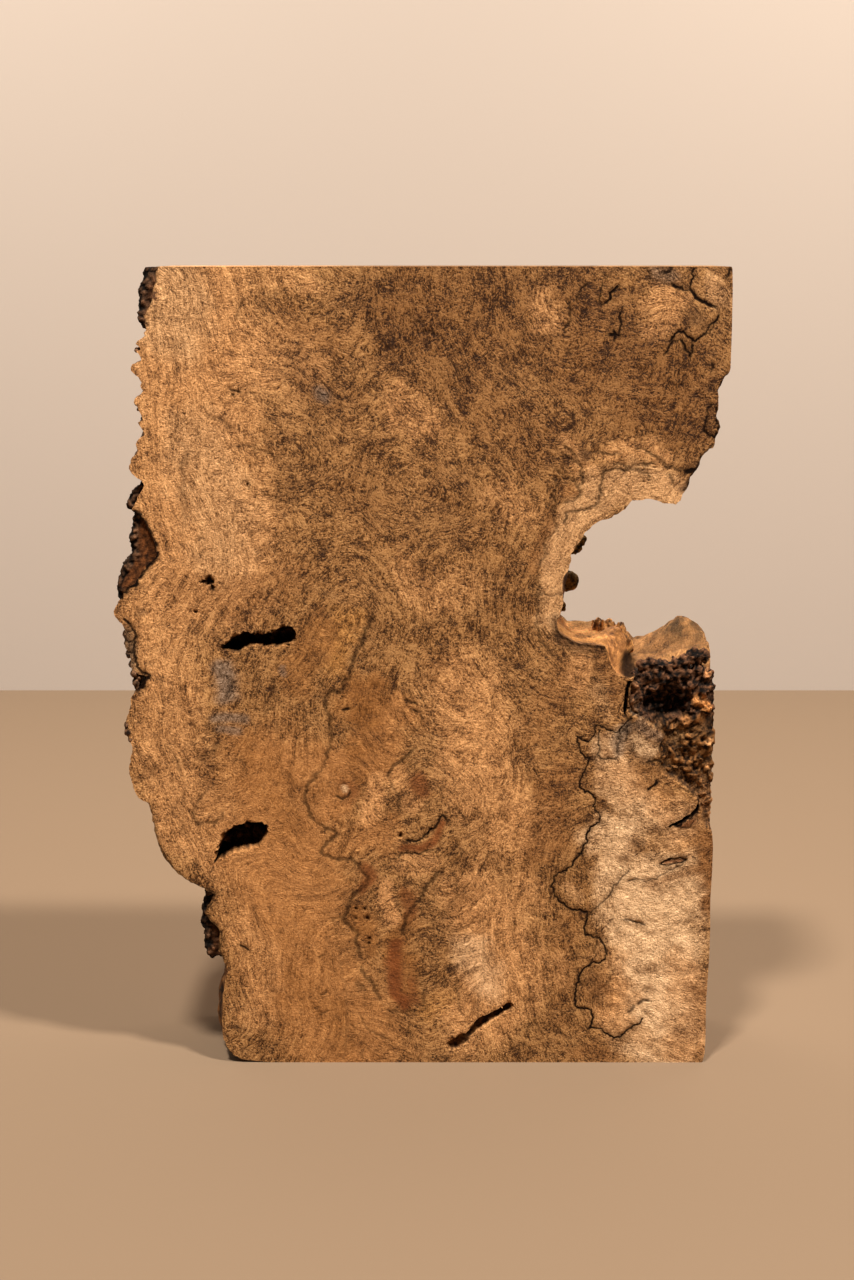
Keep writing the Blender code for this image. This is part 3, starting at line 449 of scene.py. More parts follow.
    "left_fork": (0.5, 0.45, [(-72.0, 188.0), (-75.0, 186.5), (-75.8, 185.0)]),
    "left_seam": (0.5, 0.28, [(-70.0, 180.4), (-70.2, 172.0)]),
    "left_comma": (0.45, 0.95, [(-90.5, 63.8), (-88.4, 63.2), (-86.5, 61.5)]),
    "edge_ring_a": (0.4, 0.42, [(-141.0, 166.0), (-136.0, 163.5), (-133.0, 163.0), (-136.0, 156.5)]),
    "edge_ring_b": (0.4, 0.42, [(-131.0, 158.0), (-131.0, 154.5), (-139.0, 149.5)]),
    "pale_dots": (0.4, 0.85, [(-89.0, 343.0), (-87.0, 342.6), (-85.0, 342.0)]),
    "pale_thread": (0.35, 0.6, [(-80.0, 342.0), (-77.0, 340.0)]),
    "pale_hook": (0.4, 0.55, [(-85.5, 377.0), (-84.4, 380.0), (-82.5, 384.0)]),
    "pale_tail": (0.4, 0.45, [(-85.0, 377.0), (-82.0, 375.0), (-80.0, 373.0)]),
    "pale_eye": (0.35, 0.7, [(-84.4, 298.6), (-83.4, 300.0), (-81.4, 300.0), (-80.2, 298.4), (-81.0, 296.8)]),
    "pale_mark": (0.6, 0.4, [(-100.0, 331.0), (-93.0, 328.5), (-88.0, 325.0)]),
    "pale_seam": (0.6, 0.42, [(-88.5, 316.5), (-80.0, 316.0), (-70.0, 313.5)]),
    "pale_under": (0.6, 0.34, [(-75.0, 295.0), (-72.0, 292.5), (-62.0, 290.0)]),
    "edge_cells": (0.6, 0.95, [
        (-143.0, 232.4), (-139.6, 229.0), (-138.2, 224.0), (-138.6, 218.0), (-138.4, 212.6), (-137.4, 208.4),
        (-134.6, 205.4), (-131.4, 204.0),
    ]),
    "edge_cell_a": (0.4, 0.9, [(-144.0, 227.0), (-141.0, 226.2), (-138.4, 226.8)]),
    "edge_cell_b": (0.4, 0.9, [(-143.6, 222.0), (-141.0, 221.4), (-138.4, 221.0)]),
    "edge_cell_c": (0.4, 0.9, [(-142.6, 215.6), (-140.4, 216.0), (-138.6, 215.2)]),
    "edge_cell_d": (0.4, 0.9, [(-141.8, 210.6), (-139.6, 211.2), (-138.0, 210.4)]),
    "edge_hollow": (0.9, 1.0, [
        (-139.4, 204.4), (-136.0, 202.6), (-132.6, 203.2), (-135.0, 199.6), (-138.0, 196.8),
    ]),
    "ledge_arris": (0.45, 0.7, [
        (66.8, 230.6), (66.9, 227.0), (69.6, 223.6), (73.6, 220.9), (79.6, 219.2), (85.8, 218.8),
        (90.4, 218.0),
    ]),
    "ledge_under": (0.4, 0.45, [
        (64.6, 230.0), (65.4, 225.0), (68.6, 220.8), (73.6, 217.6), (80.0, 216.0), (88.0, 215.2),
    ]),
    "wane_rim": (0.7, 0.75, [
        (-134.4, 139.0), (-132.8, 133.0), (-131.9, 126.6), (-130.4, 118.2), (-127.6, 111.2), (-123.6, 105.4),
        (-118.4, 99.9), (-113.0, 96.6), (-107.4, 93.5), (-102.6, 92.0),
    ]),
    "flake_rim": (0.95, 1.0, [
        (-137.6, 285.4), (-134.4, 283.9), (-131.0, 279.6), (-129.1, 274.6), (-126.7, 268.8), (-125.9, 264.6),
        (-126.9, 262.0), (-130.7, 258.7), (-134.2, 254.5), (-136.9, 249.5), (-140.8, 248.0), (-144.0, 243.0),
    ]),
    "crust_rim": (0.6, 0.8, [
        (-103.0, 91.4), (-104.2, 87.4), (-108.0, 81.6), (-104.9, 76.9), (-101.9, 74.5), (-100.4, 71.0),
        (-100.6, 66.0), (-101.2, 61.6), (-99.0, 56.4),
    ]),
    "strip_rim": (0.5, 0.75, [
        (-121.9, 399.8), (-122.4, 396.0), (-122.0, 393.5), (-124.0, 389.5), (-124.6, 384.0), (-126.8, 380.2),
        (-128.8, 378.0), (-127.8, 374.0),
    ]),
    "pale_band": (1.3, 0.34, [
        (-112.0, 318.0), (-110.0, 312.0), (-113.0, 306.0), (-112.0, 300.0), (-113.0, 289.0), (-112.0, 280.0),
    ]),
}
LINE_STEP = 0.85
LINE_FRINGE = 0.3
LINE_WOBBLE = 1.15
LINE_WOBBLE_LENGTH = 2.3
LINE_GROOVE = 0.3

# Palette: colour in sRGB, and how strongly the burl figure shows there
PALETTE = {
    "mid": ((148, 102, 58), 1.15),
    "tan": ((203, 144, 90), 0.52),
    "pale": ((199, 148, 99), 0.6),
    "umber": ((117, 75, 38), 1.45),
    "brown": ((139, 91, 49), 0.85),
    "orange": ((178, 120, 68), 0.3),
    "amber": ((150, 97, 49), 0.45),
    "russet": ((128, 70, 32), 0.3),
    "sap": ((198, 147, 98), 0.5),
    "cream": ((236, 190, 142), 0.34),
    "grey": ((128, 100, 74), 0.8),
    "slate": ((118, 104, 92), 0.7),
    # The ledge's inner colour, made lighter as painted light where the notch shades it
    "ledge": ((238, 168, 96), 0.4),
    "honey": ((178, 122, 62), 0.7),
    "rim": ((74, 46, 26), 0.9),
    "lichen": ((112, 86, 62), 0.9),
}

# Washes of colour in the order they lie: palette name, strength, radius and points
WASHES = [
    ("tan", 0.9, 52.0, [(-112.0, 400.0), (-108.0, 330.0), (-104.0, 262.0)]),
    ("pale", 0.9, 24.0, [(-112.0, 392.0), (-114.0, 372.0)]),
    ("pale", 0.7, 26.0, [(-106.0, 318.0), (-98.0, 294.0), (-96.0, 268.0)]),
    ("tan", 0.5, 24.0, [(-84.0, 362.0), (-60.0, 352.0)]),
    ("tan", 0.7, 30.0, [(-128.0, 238.0), (-128.0, 196.0), (-124.0, 160.0), (-112.0, 128.0), (-84.0, 98.0)]),
    ("brown", 0.5, 17.0, [(-112.0, 246.0), (-82.0, 243.0), (-62.0, 252.0)]),
    ("mid", 0.6, 24.0, [(-60.0, 330.0), (-40.0, 290.0), (-30.0, 250.0)]),
    ("umber", 0.75, 40.0, [(0.0, 388.0), (50.0, 380.0), (96.0, 356.0), (128.0, 340.0)]),
    ("umber", 0.6, 26.0, [(-12.0, 372.0), (14.0, 350.0), (46.0, 322.0), (60.0, 316.0)]),
    ("umber", 0.55, 15.0, [(-30.0, 296.0), (-20.0, 284.0)]),
    ("umber", 0.3, 18.0, [(14.0, 300.0), (36.0, 262.0), (48.0, 240.0)]),
    ("umber", 0.6, 30.0, [(84.0, 380.0), (110.0, 362.0), (120.0, 334.0)]),
    ("brown", 0.5, 13.0, [(-62.0, 372.0), (-40.0, 366.0)]),
    ("umber", 0.45, 13.0, [(112.0, 376.0), (122.0, 362.0)]),
    ("umber", 0.45, 14.0, [(96.0, 330.0), (120.0, 322.0)]),
    ("umber", 0.55, 16.0, [(-54.0, 350.0), (-40.0, 338.0)]),
    ("tan", 0.55, 11.0, [(58.0, 384.0), (62.0, 376.0)]),
    ("tan", 0.6, 12.0, [(118.0, 386.0), (112.0, 374.0)]),
    ("tan", 0.5, 13.0, [(-10.0, 336.0), (2.0, 326.0)]),
    ("tan", 0.45, 12.0, [(-6.0, 252.0), (12.0, 240.0)]),
    ("tan", 0.45, 12.0, [(40.0, 292.0), (50.0, 282.0)]),
    ("tan", 0.5, 11.0, [(-68.0, 398.0), (-50.0, 392.0)]),
    ("sap", 0.8, 8.0, [(137.0, 394.0), (141.0, 386.0)]),
    ("orange", 0.9, 46.0, [(-70.0, 148.0), (-66.0, 96.0), (-56.0, 44.0), (-36.0, 12.0)]),
    ("amber", 0.5, 16.0, [(-84.0, 166.0), (-70.0, 148.0), (-64.0, 128.0)]),
    ("amber", 0.5, 13.0, [(-60.0, 40.0), (-44.0, 28.0), (-38.0, 12.0)]),
    ("tan", 0.5, 14.0, [(-88.0, 74.0), (-80.0, 50.0), (-84.0, 24.0)]),
    ("tan", 0.7, 30.0, [(22.0, 196.0), (30.0, 160.0), (44.0, 130.0)]),
    ("tan", 0.8, 30.0, [(32.0, 84.0), (46.0, 54.0), (30.0, 24.0)]),
    ("cream", 0.4, 14.0, [(26.0, 62.0), (34.0, 44.0)]),
    ("honey", 0.6, 11.0, [(-36.0, 232.0), (-42.0, 212.0)]),
    ("amber", 0.6, 13.0, [(-48.0, 226.0), (-58.0, 214.0), (-60.0, 200.0)]),
    ("amber", 0.95, 19.0, [(-26.0, 196.0), (-24.0, 176.0), (-30.0, 158.0)]),
    ("orange", 0.8, 15.0, [(-42.0, 158.0), (-40.0, 140.0)]),
    ("orange", 0.7, 14.0, [(-8.0, 184.0), (-18.0, 160.0)]),
    ("russet", 0.5, 9.0, [(-36.0, 146.0), (-35.0, 144.0)]),
    ("tan", 0.8, 7.0, [(-20.0, 150.0), (-22.0, 138.0), (-24.0, 130.0)]),
    ("tan", 0.5, 9.0, [(-10.0, 154.0), (-4.0, 140.0)]),
    ("russet", 0.7, 6.0, [(-1.0, 151.0), (2.0, 147.0)]),
    ("brown", 0.55, 5.0, [(-13.0, 133.0), (-12.0, 131.0)]),
    ("brown", 0.5, 6.0, [(-32.0, 172.0), (-20.0, 172.0), (-18.0, 165.0)]),
    ("orange", 0.7, 13.0, [(-30.0, 120.0), (-16.0, 122.0)]),
    ("tan", 0.75, 7.0, [(-15.0, 94.0), (-15.0, 80.0)]),
    ("tan", 0.55, 9.0, [(-6.0, 108.0), (4.0, 106.0)]),
    ("russet", 0.75, 5.0, [(-27.0, 104.0), (-24.0, 98.0), (-28.0, 94.0)]),
    ("amber", 0.8, 7.0, [(-30.0, 84.0), (-28.0, 70.0), (-24.0, 62.0)]),
    ("russet", 0.6, 5.0, [(-5.0, 92.0), (-4.0, 84.0), (-7.0, 76.0)]),
    ("amber", 0.8, 11.0, [(-10.0, 72.0), (-8.0, 54.0), (-5.0, 38.0)]),
    ("russet", 0.95, 5.4, [(-10.0, 64.0), (-13.0, 50.0), (-12.0, 38.0), (-8.0, 32.0)]),
    ("russet", 0.5, 4.0, [(-4.0, 44.0), (-3.0, 34.0)]),
    ("russet", 0.85, 3.0, [(-8.0, 116.0), (0.0, 115.6), (5.0, 118.0), (8.6, 123.0), (10.6, 129.6)]),
    ("honey", 0.4, 8.0, [(4.0, 28.0), (14.0, 36.0)]),
    ("brown", 0.4, 9.0, [(-34.0, 16.0), (-20.0, 5.0)]),
    ("brown", 0.5, 8.0, [(20.0, 88.0), (24.0, 90.0)]),
    ("brown", 0.45, 14.0, [(56.0, 172.0), (64.0, 190.0), (74.0, 204.0)]),
    ("brown", 0.75, 17.0, [(70.0, 150.0), (68.0, 128.0), (60.0, 112.0)]),
    ("brown", 0.4, 10.0, [(74.0, 78.0), (72.0, 50.0), (72.0, 26.0)]),
    ("tan", 0.5, 9.0, [(52.0, 100.0), (60.0, 88.0)]),
    ("brown", 0.5, 9.0, [(-60.4, 144.0), (-60.4, 138.0)]),
    ("brown", 0.4, 8.0, [(8.0, 212.0), (12.0, 204.0)]),
    ("sap", 1.0, 11.0, [
        (66.0, 230.0), (66.0, 262.0), (74.0, 282.0), (92.0, 294.0), (110.0, 298.0), (124.0, 296.0),
    ]),
    ("tan", 0.6, 7.0, [(92.0, 314.0), (108.0, 314.0), (118.0, 310.0)]),
    ("tan", 0.5, 6.0, [(70.0, 318.0), (76.0, 309.0), (82.0, 304.0)]),
    ("rim", 0.75, 4.2, [(78.6, 312.8), (80.9, 311.6)]),
    ("rim", 0.5, 5.0, [(128.8, 378.9), (132.8, 375.2), (127.5, 374.8)]),
    ("brown", 0.8, 6.0, [(71.0, 294.6), (73.6, 294.4)]),
    ("brown", 0.7, 5.0, [(62.0, 284.0), (63.0, 276.0), (58.0, 268.0), (56.0, 258.0)]),
    ("tan", 0.5, 8.0, [(80.0, 212.0), (78.0, 198.0)]),
    ("rim", 0.35, 7.0, [(88.0, 211.0), (89.0, 203.0), (92.0, 196.0)]),
    ("rim", 0.65, 5.2, [
        (66.0, 231.0), (67.4, 225.4), (70.0, 222.4), (74.6, 219.8), (81.0, 218.4), (90.0, 217.6),
    ]),
    ("brown", 0.6, 6.0, [(92.0, 212.0), (97.0, 204.0), (98.0, 196.0)]),
    ("cream", 0.95, 30.0, [(124.0, 92.0), (122.0, 50.0), (124.0, 14.0)]),
    ("cream", 0.8, 20.0, [(98.0, 118.0), (106.0, 90.0), (108.0, 60.0)]),
    ("cream", 0.6, 14.0, [(94.0, 168.0), (102.0, 150.0), (112.0, 136.0), (128.0, 128.0)]),
    ("tan", 0.5, 15.0, [(100.0, 156.0), (118.0, 142.0), (134.0, 122.0)]),
    ("sap", 0.6, 9.0, [(104.0, 20.0), (118.0, 10.0), (134.0, 8.0)]),
    ("brown", 0.45, 5.0, [(113.0, 52.0), (118.0, 51.0)]),
    ("brown", 0.4, 6.0, [(118.0, 94.0), (132.0, 100.0), (144.0, 104.0)]),
    ("brown", 0.35, 5.0, [(108.0, 120.0), (104.0, 112.0)]),
    ("sap", 0.5, 4.5, [(74.0, 95.0), (80.0, 90.0)]),
    ("umber", 0.7, 4.6, [(144.0, 9.0), (144.0, 2.0)]),
    ("brown", 0.95, 11.0, [(148.0, 120.0), (148.0, 88.0)]),
    ("tan", 0.5, 14.0, [(98.0, 36.0), (104.0, 24.0)]),
    ("cream", 0.9, 2.2, [(-37.4, 147.2), (-36.8, 145.6)]),
    ("brown", 0.6, 9.0, [(84.0, 8.0), (96.0, 4.0)]),
    ("rim", 0.45, 6.0, [(88.0, 46.0), (90.0, 36.0)]),
    ("grey", 0.5, 8.0, [(104.0, 174.0), (112.0, 168.0)]),
    ("slate", 0.5, 4.6, [(102.2, 178.1), (98.2, 172.2), (99.0, 166.3)]),
    ("slate", 0.42, 4.6, [(109.0, 179.0), (114.8, 176.1), (119.9, 172.5)]),
    ("cream", 0.5, 5.0, [(108.0, 170.9), (114.1, 166.7)]),
    ("slate", 0.6, 9.0, [(-95.8, 208.0), (-93.5, 196.0)]),
    ("slate", 0.55, 4.0, [(-100.0, 183.5), (-86.0, 182.0)]),
    ("slate", 0.5, 3.6, [(-98.0, 177.0), (-90.0, 175.4)]),
    ("slate", 0.5, 3.0, [(-66.2, 208.0), (-66.0, 205.0)]),
    ("slate", 0.55, 6.0, [(-46.0, 341.0), (-43.0, 340.0)]),
    ("rim", 0.8, 4.0, [(134.0, 307.0), (130.0, 301.0), (127.0, 297.0)]),
    ("lichen", 0.85, 4.2, [(-143.0, 228.0), (-141.6, 214.0), (-140.6, 206.0)]),
    ("rim", 0.95, 3.4, [(-139.0, 203.6), (-136.6, 201.0), (-138.6, 197.6)]),
    ("russet", 0.8, 1.6, [(123.6, 108.1), (128.0, 108.6), (132.1, 108.9)]),
    ("russet", 0.8, 2.6, [(129.6, 127.5), (133.4, 128.3), (136.3, 130.0)]),
    ("brown", 0.55, 4.0, [(114.2, 96.4), (123.9, 99.0), (133.5, 102.0), (144.4, 104.9)]),
    ("brown", 0.5, 4.6, [(91.7, 173.5), (92.8, 165.5)]),
    ("tan", 0.55, 17.0, [(134.0, 48.6), (140.7, 31.4), (136.5, 7.5)]),
    ("brown", 0.4, 10.0, [(143.3, 40.7), (141.0, 22.1), (131.5, 7.5)]),
    ("brown", 0.5, 6.0, [(88.5, 47.3), (92.3, 40.7), (86.2, 36.7)]),
    ("brown", 0.4, 6.0, [(137.7, 122.2), (144.0, 114.6)]),
    ("tan", 0.4, 14.0, [(98.1, 55.2), (102.3, 34.1)]),
    ("umber", 0.4, 5.0, [(90.4, 11.5), (88.7, 3.4)]),
    ("pale", 0.75, 10.0, [(84.0, 298.0), (104.0, 302.0)]),
    ("brown", 0.6, 8.0, [(146.0, 114.0), (146.0, 90.0)]),
    ("umber", 0.45, 15.0, [(64.0, 348.0), (76.0, 343.0)]),
    ("tan", 0.3, 13.0, [(14.0, 252.0), (26.0, 248.0)]),
    ("tan", 0.3, 7.0, [(73.0, 56.0), (73.0, 44.0)]),
    ("pale", 0.35, 8.0, [(90.5, 197.4), (91.9, 189.7)]),
    ("brown", 0.4, 6.0, [(87.6, 214.7), (89.0, 206.4)]),
    ("slate", 0.4, 5.0, [(110.0, 397.0), (118.0, 396.0)]),
    ("rim", 0.5, 3.0, [(-136.0, 237.0), (-134.0, 236.0)]),
    ("rim", 0.7, 2.6, [(-138.0, 205.0), (-134.0, 203.0), (-137.4, 198.4)]),
    ("grey", 0.45, 3.0, [(-139.6, 228.0), (-139.0, 214.0)]),
]
WASH_WARP = 6.0
WASH_WARP_LENGTH = 17.0
WASH_FRAY = 2.0
WASH_FRAY_LENGTH = 5.0
WASH_CALM_RADIUS = 14.0

# Coloured areas of the edges: where each fades in and out along x, and along z
LEDGE_AREA = (((66.0, 69.0), (92.0, 97.0)), ((203.0, 208.0), (227.0, 232.0)))
SLOPE_AREA = (((90.0, 94.0), (106.0, 110.0)), ((199.0, 203.0), (228.0, 232.0)))
KNOB_AREA = (((106.0, 110.0), (200.0, 201.0)), ((203.0, 207.0), (228.0, 232.0)))
# Edge colours: the ledge's front tone is painted darker, as painted shade where the lamps reach it
EDGE_TONES = {
    "ledge_front_painted_shade": (170, 114, 60), "olive": (122, 88, 48), "torn_dark": (104, 62, 30),
    "torn_light": (204, 138, 76), "knob": (148, 102, 58), "moss": (74, 52, 27), "lip": (84, 50, 27),
}

# Painted shade in the recess beside the torn slope, and how dark the painted shade in hollows and pits is
RECESS_SHADE_X = 103.8
RECESS_SHADE_Z = 205.6
PAINTED_SHADE_DARKNESS = 0.97

# Shades that the fine tones give to wood and bark, and the colours of ink and painted hollow shade, in linear
# light
WOOD_SHADES = [
    (0.0, (0.16, 0.13, 0.12)), (0.25, (0.5, 0.47, 0.43)), (0.5, (1.0, 1.0, 0.99)),
    (0.75, (1.44, 1.52, 1.6)), (1.0, (1.9, 2.15, 2.4)),
]
BARK_SHADES = [(0.1, (0.35, 0.32, 0.3)), (0.5, (0.95, 0.95, 0.95)), (0.9, (1.9, 1.9, 1.9))]
FAINT_INK_AND_SHADE = (0.06, 0.026, 0.01, 1.0)
FULL_INK_AND_SHADE = (0.011, 0.006, 0.004, 1.0)

# Where the wood is soft and eroded: x, z and radius
PUNKY = [(122.0, 92.0, 44.0), (118.0, 34.0, 36.0), (104.0, 148.0, 30.0), (132.0, 128.0, 24.0)]

# Bare patch where the burl's own surface lies lower than the sawn face: outline and slopes
PATCH_DEPTH = 2.5
PATCH_SLOPE_X = 0.10
PATCH_SLOPE_Z = 0.16
PATCH_LEFT = 104.0
PATCH_RISE = 184.0
PATCH_RAMP = 1.6
BARK_PATCH = [
    (102.8, 184.4), (102.6, 192.0), (103.2, 198.4), (105.6, 203.6), (107.0, 210.0), (152.0, 226.0),
    (152.0, 124.0), (147.0, 123.0), (141.6, 127.6), (140.6, 134.0), (137.8, 141.0), (132.0, 147.0),
    (126.0, 151.0), (121.0, 153.6), (118.6, 158.0), (119.4, 163.0), (117.6, 168.0), (120.4, 173.0),
    (115.0, 178.6), (109.0, 182.4),
]

# Centres that the growth rings bend around: x and z
RING_CENTRES = [(-38.0, 146.0), (0.0, 148.0), (96.0, 352.0), (-8.0, 300.0), (-64.0, 320.0), (-88.0, 132.0)]

# Lines that the growth follows: the notch, the flame at the top, the left edge, the heart, the soft corner
RING_LINES = [
    [
        (90.0, 219.0), (76.0, 219.0), (68.0, 228.0), (69.6, 243.0), (72.0, 257.0), (80.0, 274.6),
        (95.0, 283.8), (107.0, 291.0), (123.0, 289.0), (131.0, 302.0), (140.0, 316.0),
    ],
    [(30.0, 402.0), (34.0, 378.0), (42.0, 358.0), (54.0, 340.0), (66.0, 326.0)],
    [
        (-134.0, 380.0), (-134.0, 340.0), (-132.0, 300.0), (-120.0, 262.0), (-142.0, 236.0), (-142.0, 180.0),
        (-134.0, 140.0), (-112.0, 98.0), (-100.0, 60.0), (-99.0, 20.0),
    ],
    [(-36.0, 234.0), (-46.0, 208.0), (-58.0, 190.0), (-60.0, 164.0), (-66.0, 140.0), (-52.0, 120.0)],
    [(147.0, 112.0), (120.0, 96.0), (96.0, 104.0), (92.0, 70.0), (104.0, 30.0), (140.0, 14.0)],
]

# How the rings wander, and how softly their centres and lines join
RING_BEND = 14.0
RING_BEND_LENGTH = 44.0
RING_SOFTNESS = 8.0

# Scraps of bark on the left edge: front outline, first and last depth behind the front face, and how
# much of the front was sawn smooth
BARK_SCRAPS = {
    "bark_strip": ([
        (-121.0, 399.7), (-128.0, 399.7), (-128.8, 395.0), (-130.3, 390.6), (-130.8, 385.0), (-131.5, 379.0),
        (-131.4, 374.0), (-129.4, 371.6), (-126.6, 371.0), (-123.6, 378.0), (-121.0, 386.0),
    ], 0.3, 52.0, 0.3),
    "bark_chunk": ([
        (-132.6, 298.8), (-136.0, 295.6), (-139.0, 292.6), (-140.2, 289.0), (-140.0, 285.8), (-137.0, 284.0),
        (-133.0, 286.0), (-129.0, 292.0), (-128.6, 296.6),
    ], 3.0, 44.0, 0.0),
    "bark_flake": ([
        (-135.0, 285.0), (-137.8, 283.0), (-138.2, 276.0), (-139.6, 273.0), (-139.4, 267.0), (-138.6, 264.6),
        (-140.4, 261.6), (-143.2, 259.2), (-144.4, 255.4), (-146.2, 249.6), (-146.4, 243.0), (-145.0, 239.4),
        (-140.0, 244.0), (-133.0, 252.0), (-125.0, 259.0), (-122.6, 264.8), (-124.6, 271.0), (-127.6, 279.0),
    ], 2.4, 50.0, 1.0),
    "bark_crust": ([
        (-97.0, 93.8), (-108.4, 92.6), (-107.2, 90.2), (-108.6, 86.6), (-109.7, 82.4), (-109.0, 79.6),
        (-111.0, 74.4), (-108.6, 71.0), (-109.2, 64.0), (-108.2, 59.0), (-105.6, 55.2), (-103.4, 56.6),
        (-95.6, 56.6), (-93.6, 74.0),
    ], 2.6, 48.0, 0.35),
    "bark_spike": ([
        (-112.0, 99.0), (-117.6, 99.0), (-118.1, 95.4), (-115.6, 95.8), (-110.0, 93.6),
    ], 12.0, 26.0, 0.0),
}
BARK_PROFILE = [(0.0, 1.0), (0.3, 1.02), (0.7, 0.98), (1.0, 0.86)]
BARK_DRIFT = 1.4
BARK_STEP = 0.3
BARK_VOXEL = 0.75

# Dark crumbs of bark along the live edge: x, depth behind the front face, z and radius
EDGE_CRUMBS = [
    (-132.8, 2.4, 361.4, 1.2), (-131.0, 3.0, 360.6, 0.9), (-133.8, 2.6, 336.4, 1.1),
    (-133.0, 4.0, 333.6, 1.0), (-130.4, 3.0, 326.0, 1.3), (-133.6, 3.4, 315.0, 1.0),
    (-129.0, 3.0, 372.6, 1.1), (-127.4, 3.6, 392.6, 0.9), (-143.0, 2.4, 229.6, 1.3),
    (-142.8, 3.4, 224.6, 1.8), (-142.4, 3.0, 220.0, 1.6), (-141.6, 3.0, 214.4, 1.9),
    (-140.6, 3.2, 209.4, 1.7), (-139.6, 2.6, 205.0, 1.8), (-137.0, 3.8, 203.0, 1.8),
    (-138.8, 3.0, 200.4, 2.0), (-138.4, 3.6, 197.8, 1.5), (-143.8, 2.2, 178.8, 1.6),
    (-143.2, 3.2, 175.4, 2.3), (-142.2, 2.6, 171.6, 1.6), (-141.0, 3.0, 147.2, 1.3),
    (-139.4, 3.4, 144.4, 1.0), (-143.0, 3.0, 153.8, 0.9), (-104.0, 4.0, 92.0, 1.8), (-106.6, 4.6, 90.4, 1.4),
    (-134.0, 3.0, 139.4, 0.9),
]
CRUMB_BITS = 5
CRUMB_VOXEL = 0.5

# Nodules of the burl bark, listed where they show: x, z and radius
NODULES = [
    (110.6, 208.0, 3.0), (114.6, 208.8, 3.0), (118.6, 207.8, 3.0), (122.6, 207.4, 2.8), (126.6, 208.4, 3.2),
    (131.2, 209.2, 3.6), (135.6, 211.4, 4.0), (140.6, 212.0, 4.0), (106.4, 198.4, 3.6), (105.6, 191.4, 3.2),
    (112.0, 202.4, 3.6), (118.0, 202.6, 3.4), (124.6, 202.6, 3.6), (131.0, 203.4, 3.8), (137.4, 204.6, 3.6),
    (142.4, 201.8, 2.8), (134.2, 197.8, 3.4), (140.4, 195.0, 3.4), (137.6, 189.4, 3.4), (142.4, 185.6, 3.2),
    (136.4, 181.8, 3.2), (129.4, 180.2, 3.2), (122.4, 178.6, 3.2), (115.4, 181.4, 2.8), (122.0, 192.6, 2.8),
]
LOWER_NODULES = 15
LOWER_NODULE_BOX = (124.0, 143.0, 130.0, 175.0)
LOWER_NODULE_RADII = (2.4, 3.8)
NODULE_SINK = 0.35
NODULE_LENGTH = 1.25
SMALL_NODULES = 8
LOOSE_NODULES = 230
BURL_VOXEL = 0.72
BURL_BACKING = 7.0
BURL_PLATE = [
    (102.9, 184.6), (102.8, 192.0), (103.4, 198.4), (105.6, 203.2), (145.6, 202.6), (146.2, 190.0),
    (146.2, 125.0),
]

# Crater in the burl bark: centre x and z, half width, half height and depth
CRATER = (122.4, 187.8, 13.8, 10.6, 8.0)

# Torn crests along the ledge: tip x, y, z, then the base's radius and height
CRESTS = [
    (92.0, 19.0, 224.0, 2.4, 8.0), (94.0, 14.0, 222.6, 2.2, 8.0), (97.0, 16.0, 224.0, 2.8, 9.0),
    (99.4, 9.0, 221.0, 2.6, 9.0), (102.8, 10.0, 223.4, 2.8, 10.0), (104.8, 4.0, 218.6, 2.4, 9.0),
    (98.0, 3.0, 219.0, 2.4, 8.0),
]
CREST_SPREAD = 1.35
CREST_SPLINTERS = 5
SPLINTER_PROFILE = [(0.0, 1.1), (0.5, 0.8), (0.82, 0.5), (1.0, 0.2)]
SPLINTER_SIDES = 10
CREST_VOXEL = 0.6

# Lichen-covered bits on the back half of the notch wall: centre x, y, z and radii
WALL_BITS = [
    ((80.4, 24.0, 263.0), (6.0, 4.0, 3.6)), ((78.0, 22.0, 258.4), (5.4, 4.0, 3.0)),
    ((75.6, 24.0, 241.4), (7.4, 5.0, 6.2)), ((71.6, 24.0, 228.2), (4.6, 3.8, 3.6)),
]
WALL_LUMPS = 16
WALL_VOXEL = 0.55

# Worn and coloured places in the burl bark: x, z, radius and colour
BURL_SPOTS = [
    (138.4, 190.4, 4.2, (206, 138, 78)), (142.0, 187.0, 3.4, (190, 124, 66)),
    (142.6, 203.2, 2.2, (206, 140, 88)), (132.0, 180.4, 3.2, (160, 108, 62)),
    (139.4, 181.0, 3.2, (150, 98, 52)), (105.6, 190.0, 3.6, (122, 86, 58)),
    (105.8, 198.0, 3.6, (128, 88, 58)), (122.0, 192.8, 2.2, (128, 84, 50)),
    (128.0, 173.0, 4.6, (112, 80, 48)), (137.6, 175.0, 4.6, (98, 66, 36)),
    (126.0, 160.0, 3.2, (160, 112, 66)), (144.0, 169.6, 2.4, (196, 142, 92)),
    (144.6, 157.0, 2.0, (186, 130, 80)), (129.0, 142.0, 4.0, (206, 150, 100)),
    (136.0, 140.0, 3.4, (196, 140, 90)), (142.4, 135.6, 2.6, (150, 100, 58)),
    (106.0, 184.6, 3.0, (150, 118, 88)),
]

# How far the figure drifts from the front face to the back face
FLOW = 16.0
FLOW_LENGTH = 62.0

# Stage in metres: the wall's distance, then the colour and corners of each sheet
WALL_Y = 0.76
STAGE = {
    "stage_floor": ((126, 105, 84), [
        (-6.0, -4.0, 0.0), (6.0, -4.0, 0.0), (6.0, WALL_Y, 0.0), (-6.0, WALL_Y, 0.0),
    ]),
    "stage_wall": ((181, 167, 155), [
        (-6.0, WALL_Y, 0.0), (6.0, WALL_Y, 0.0), (6.0, WALL_Y, 4.0), (-6.0, WALL_Y, 4.0),
    ]),
}

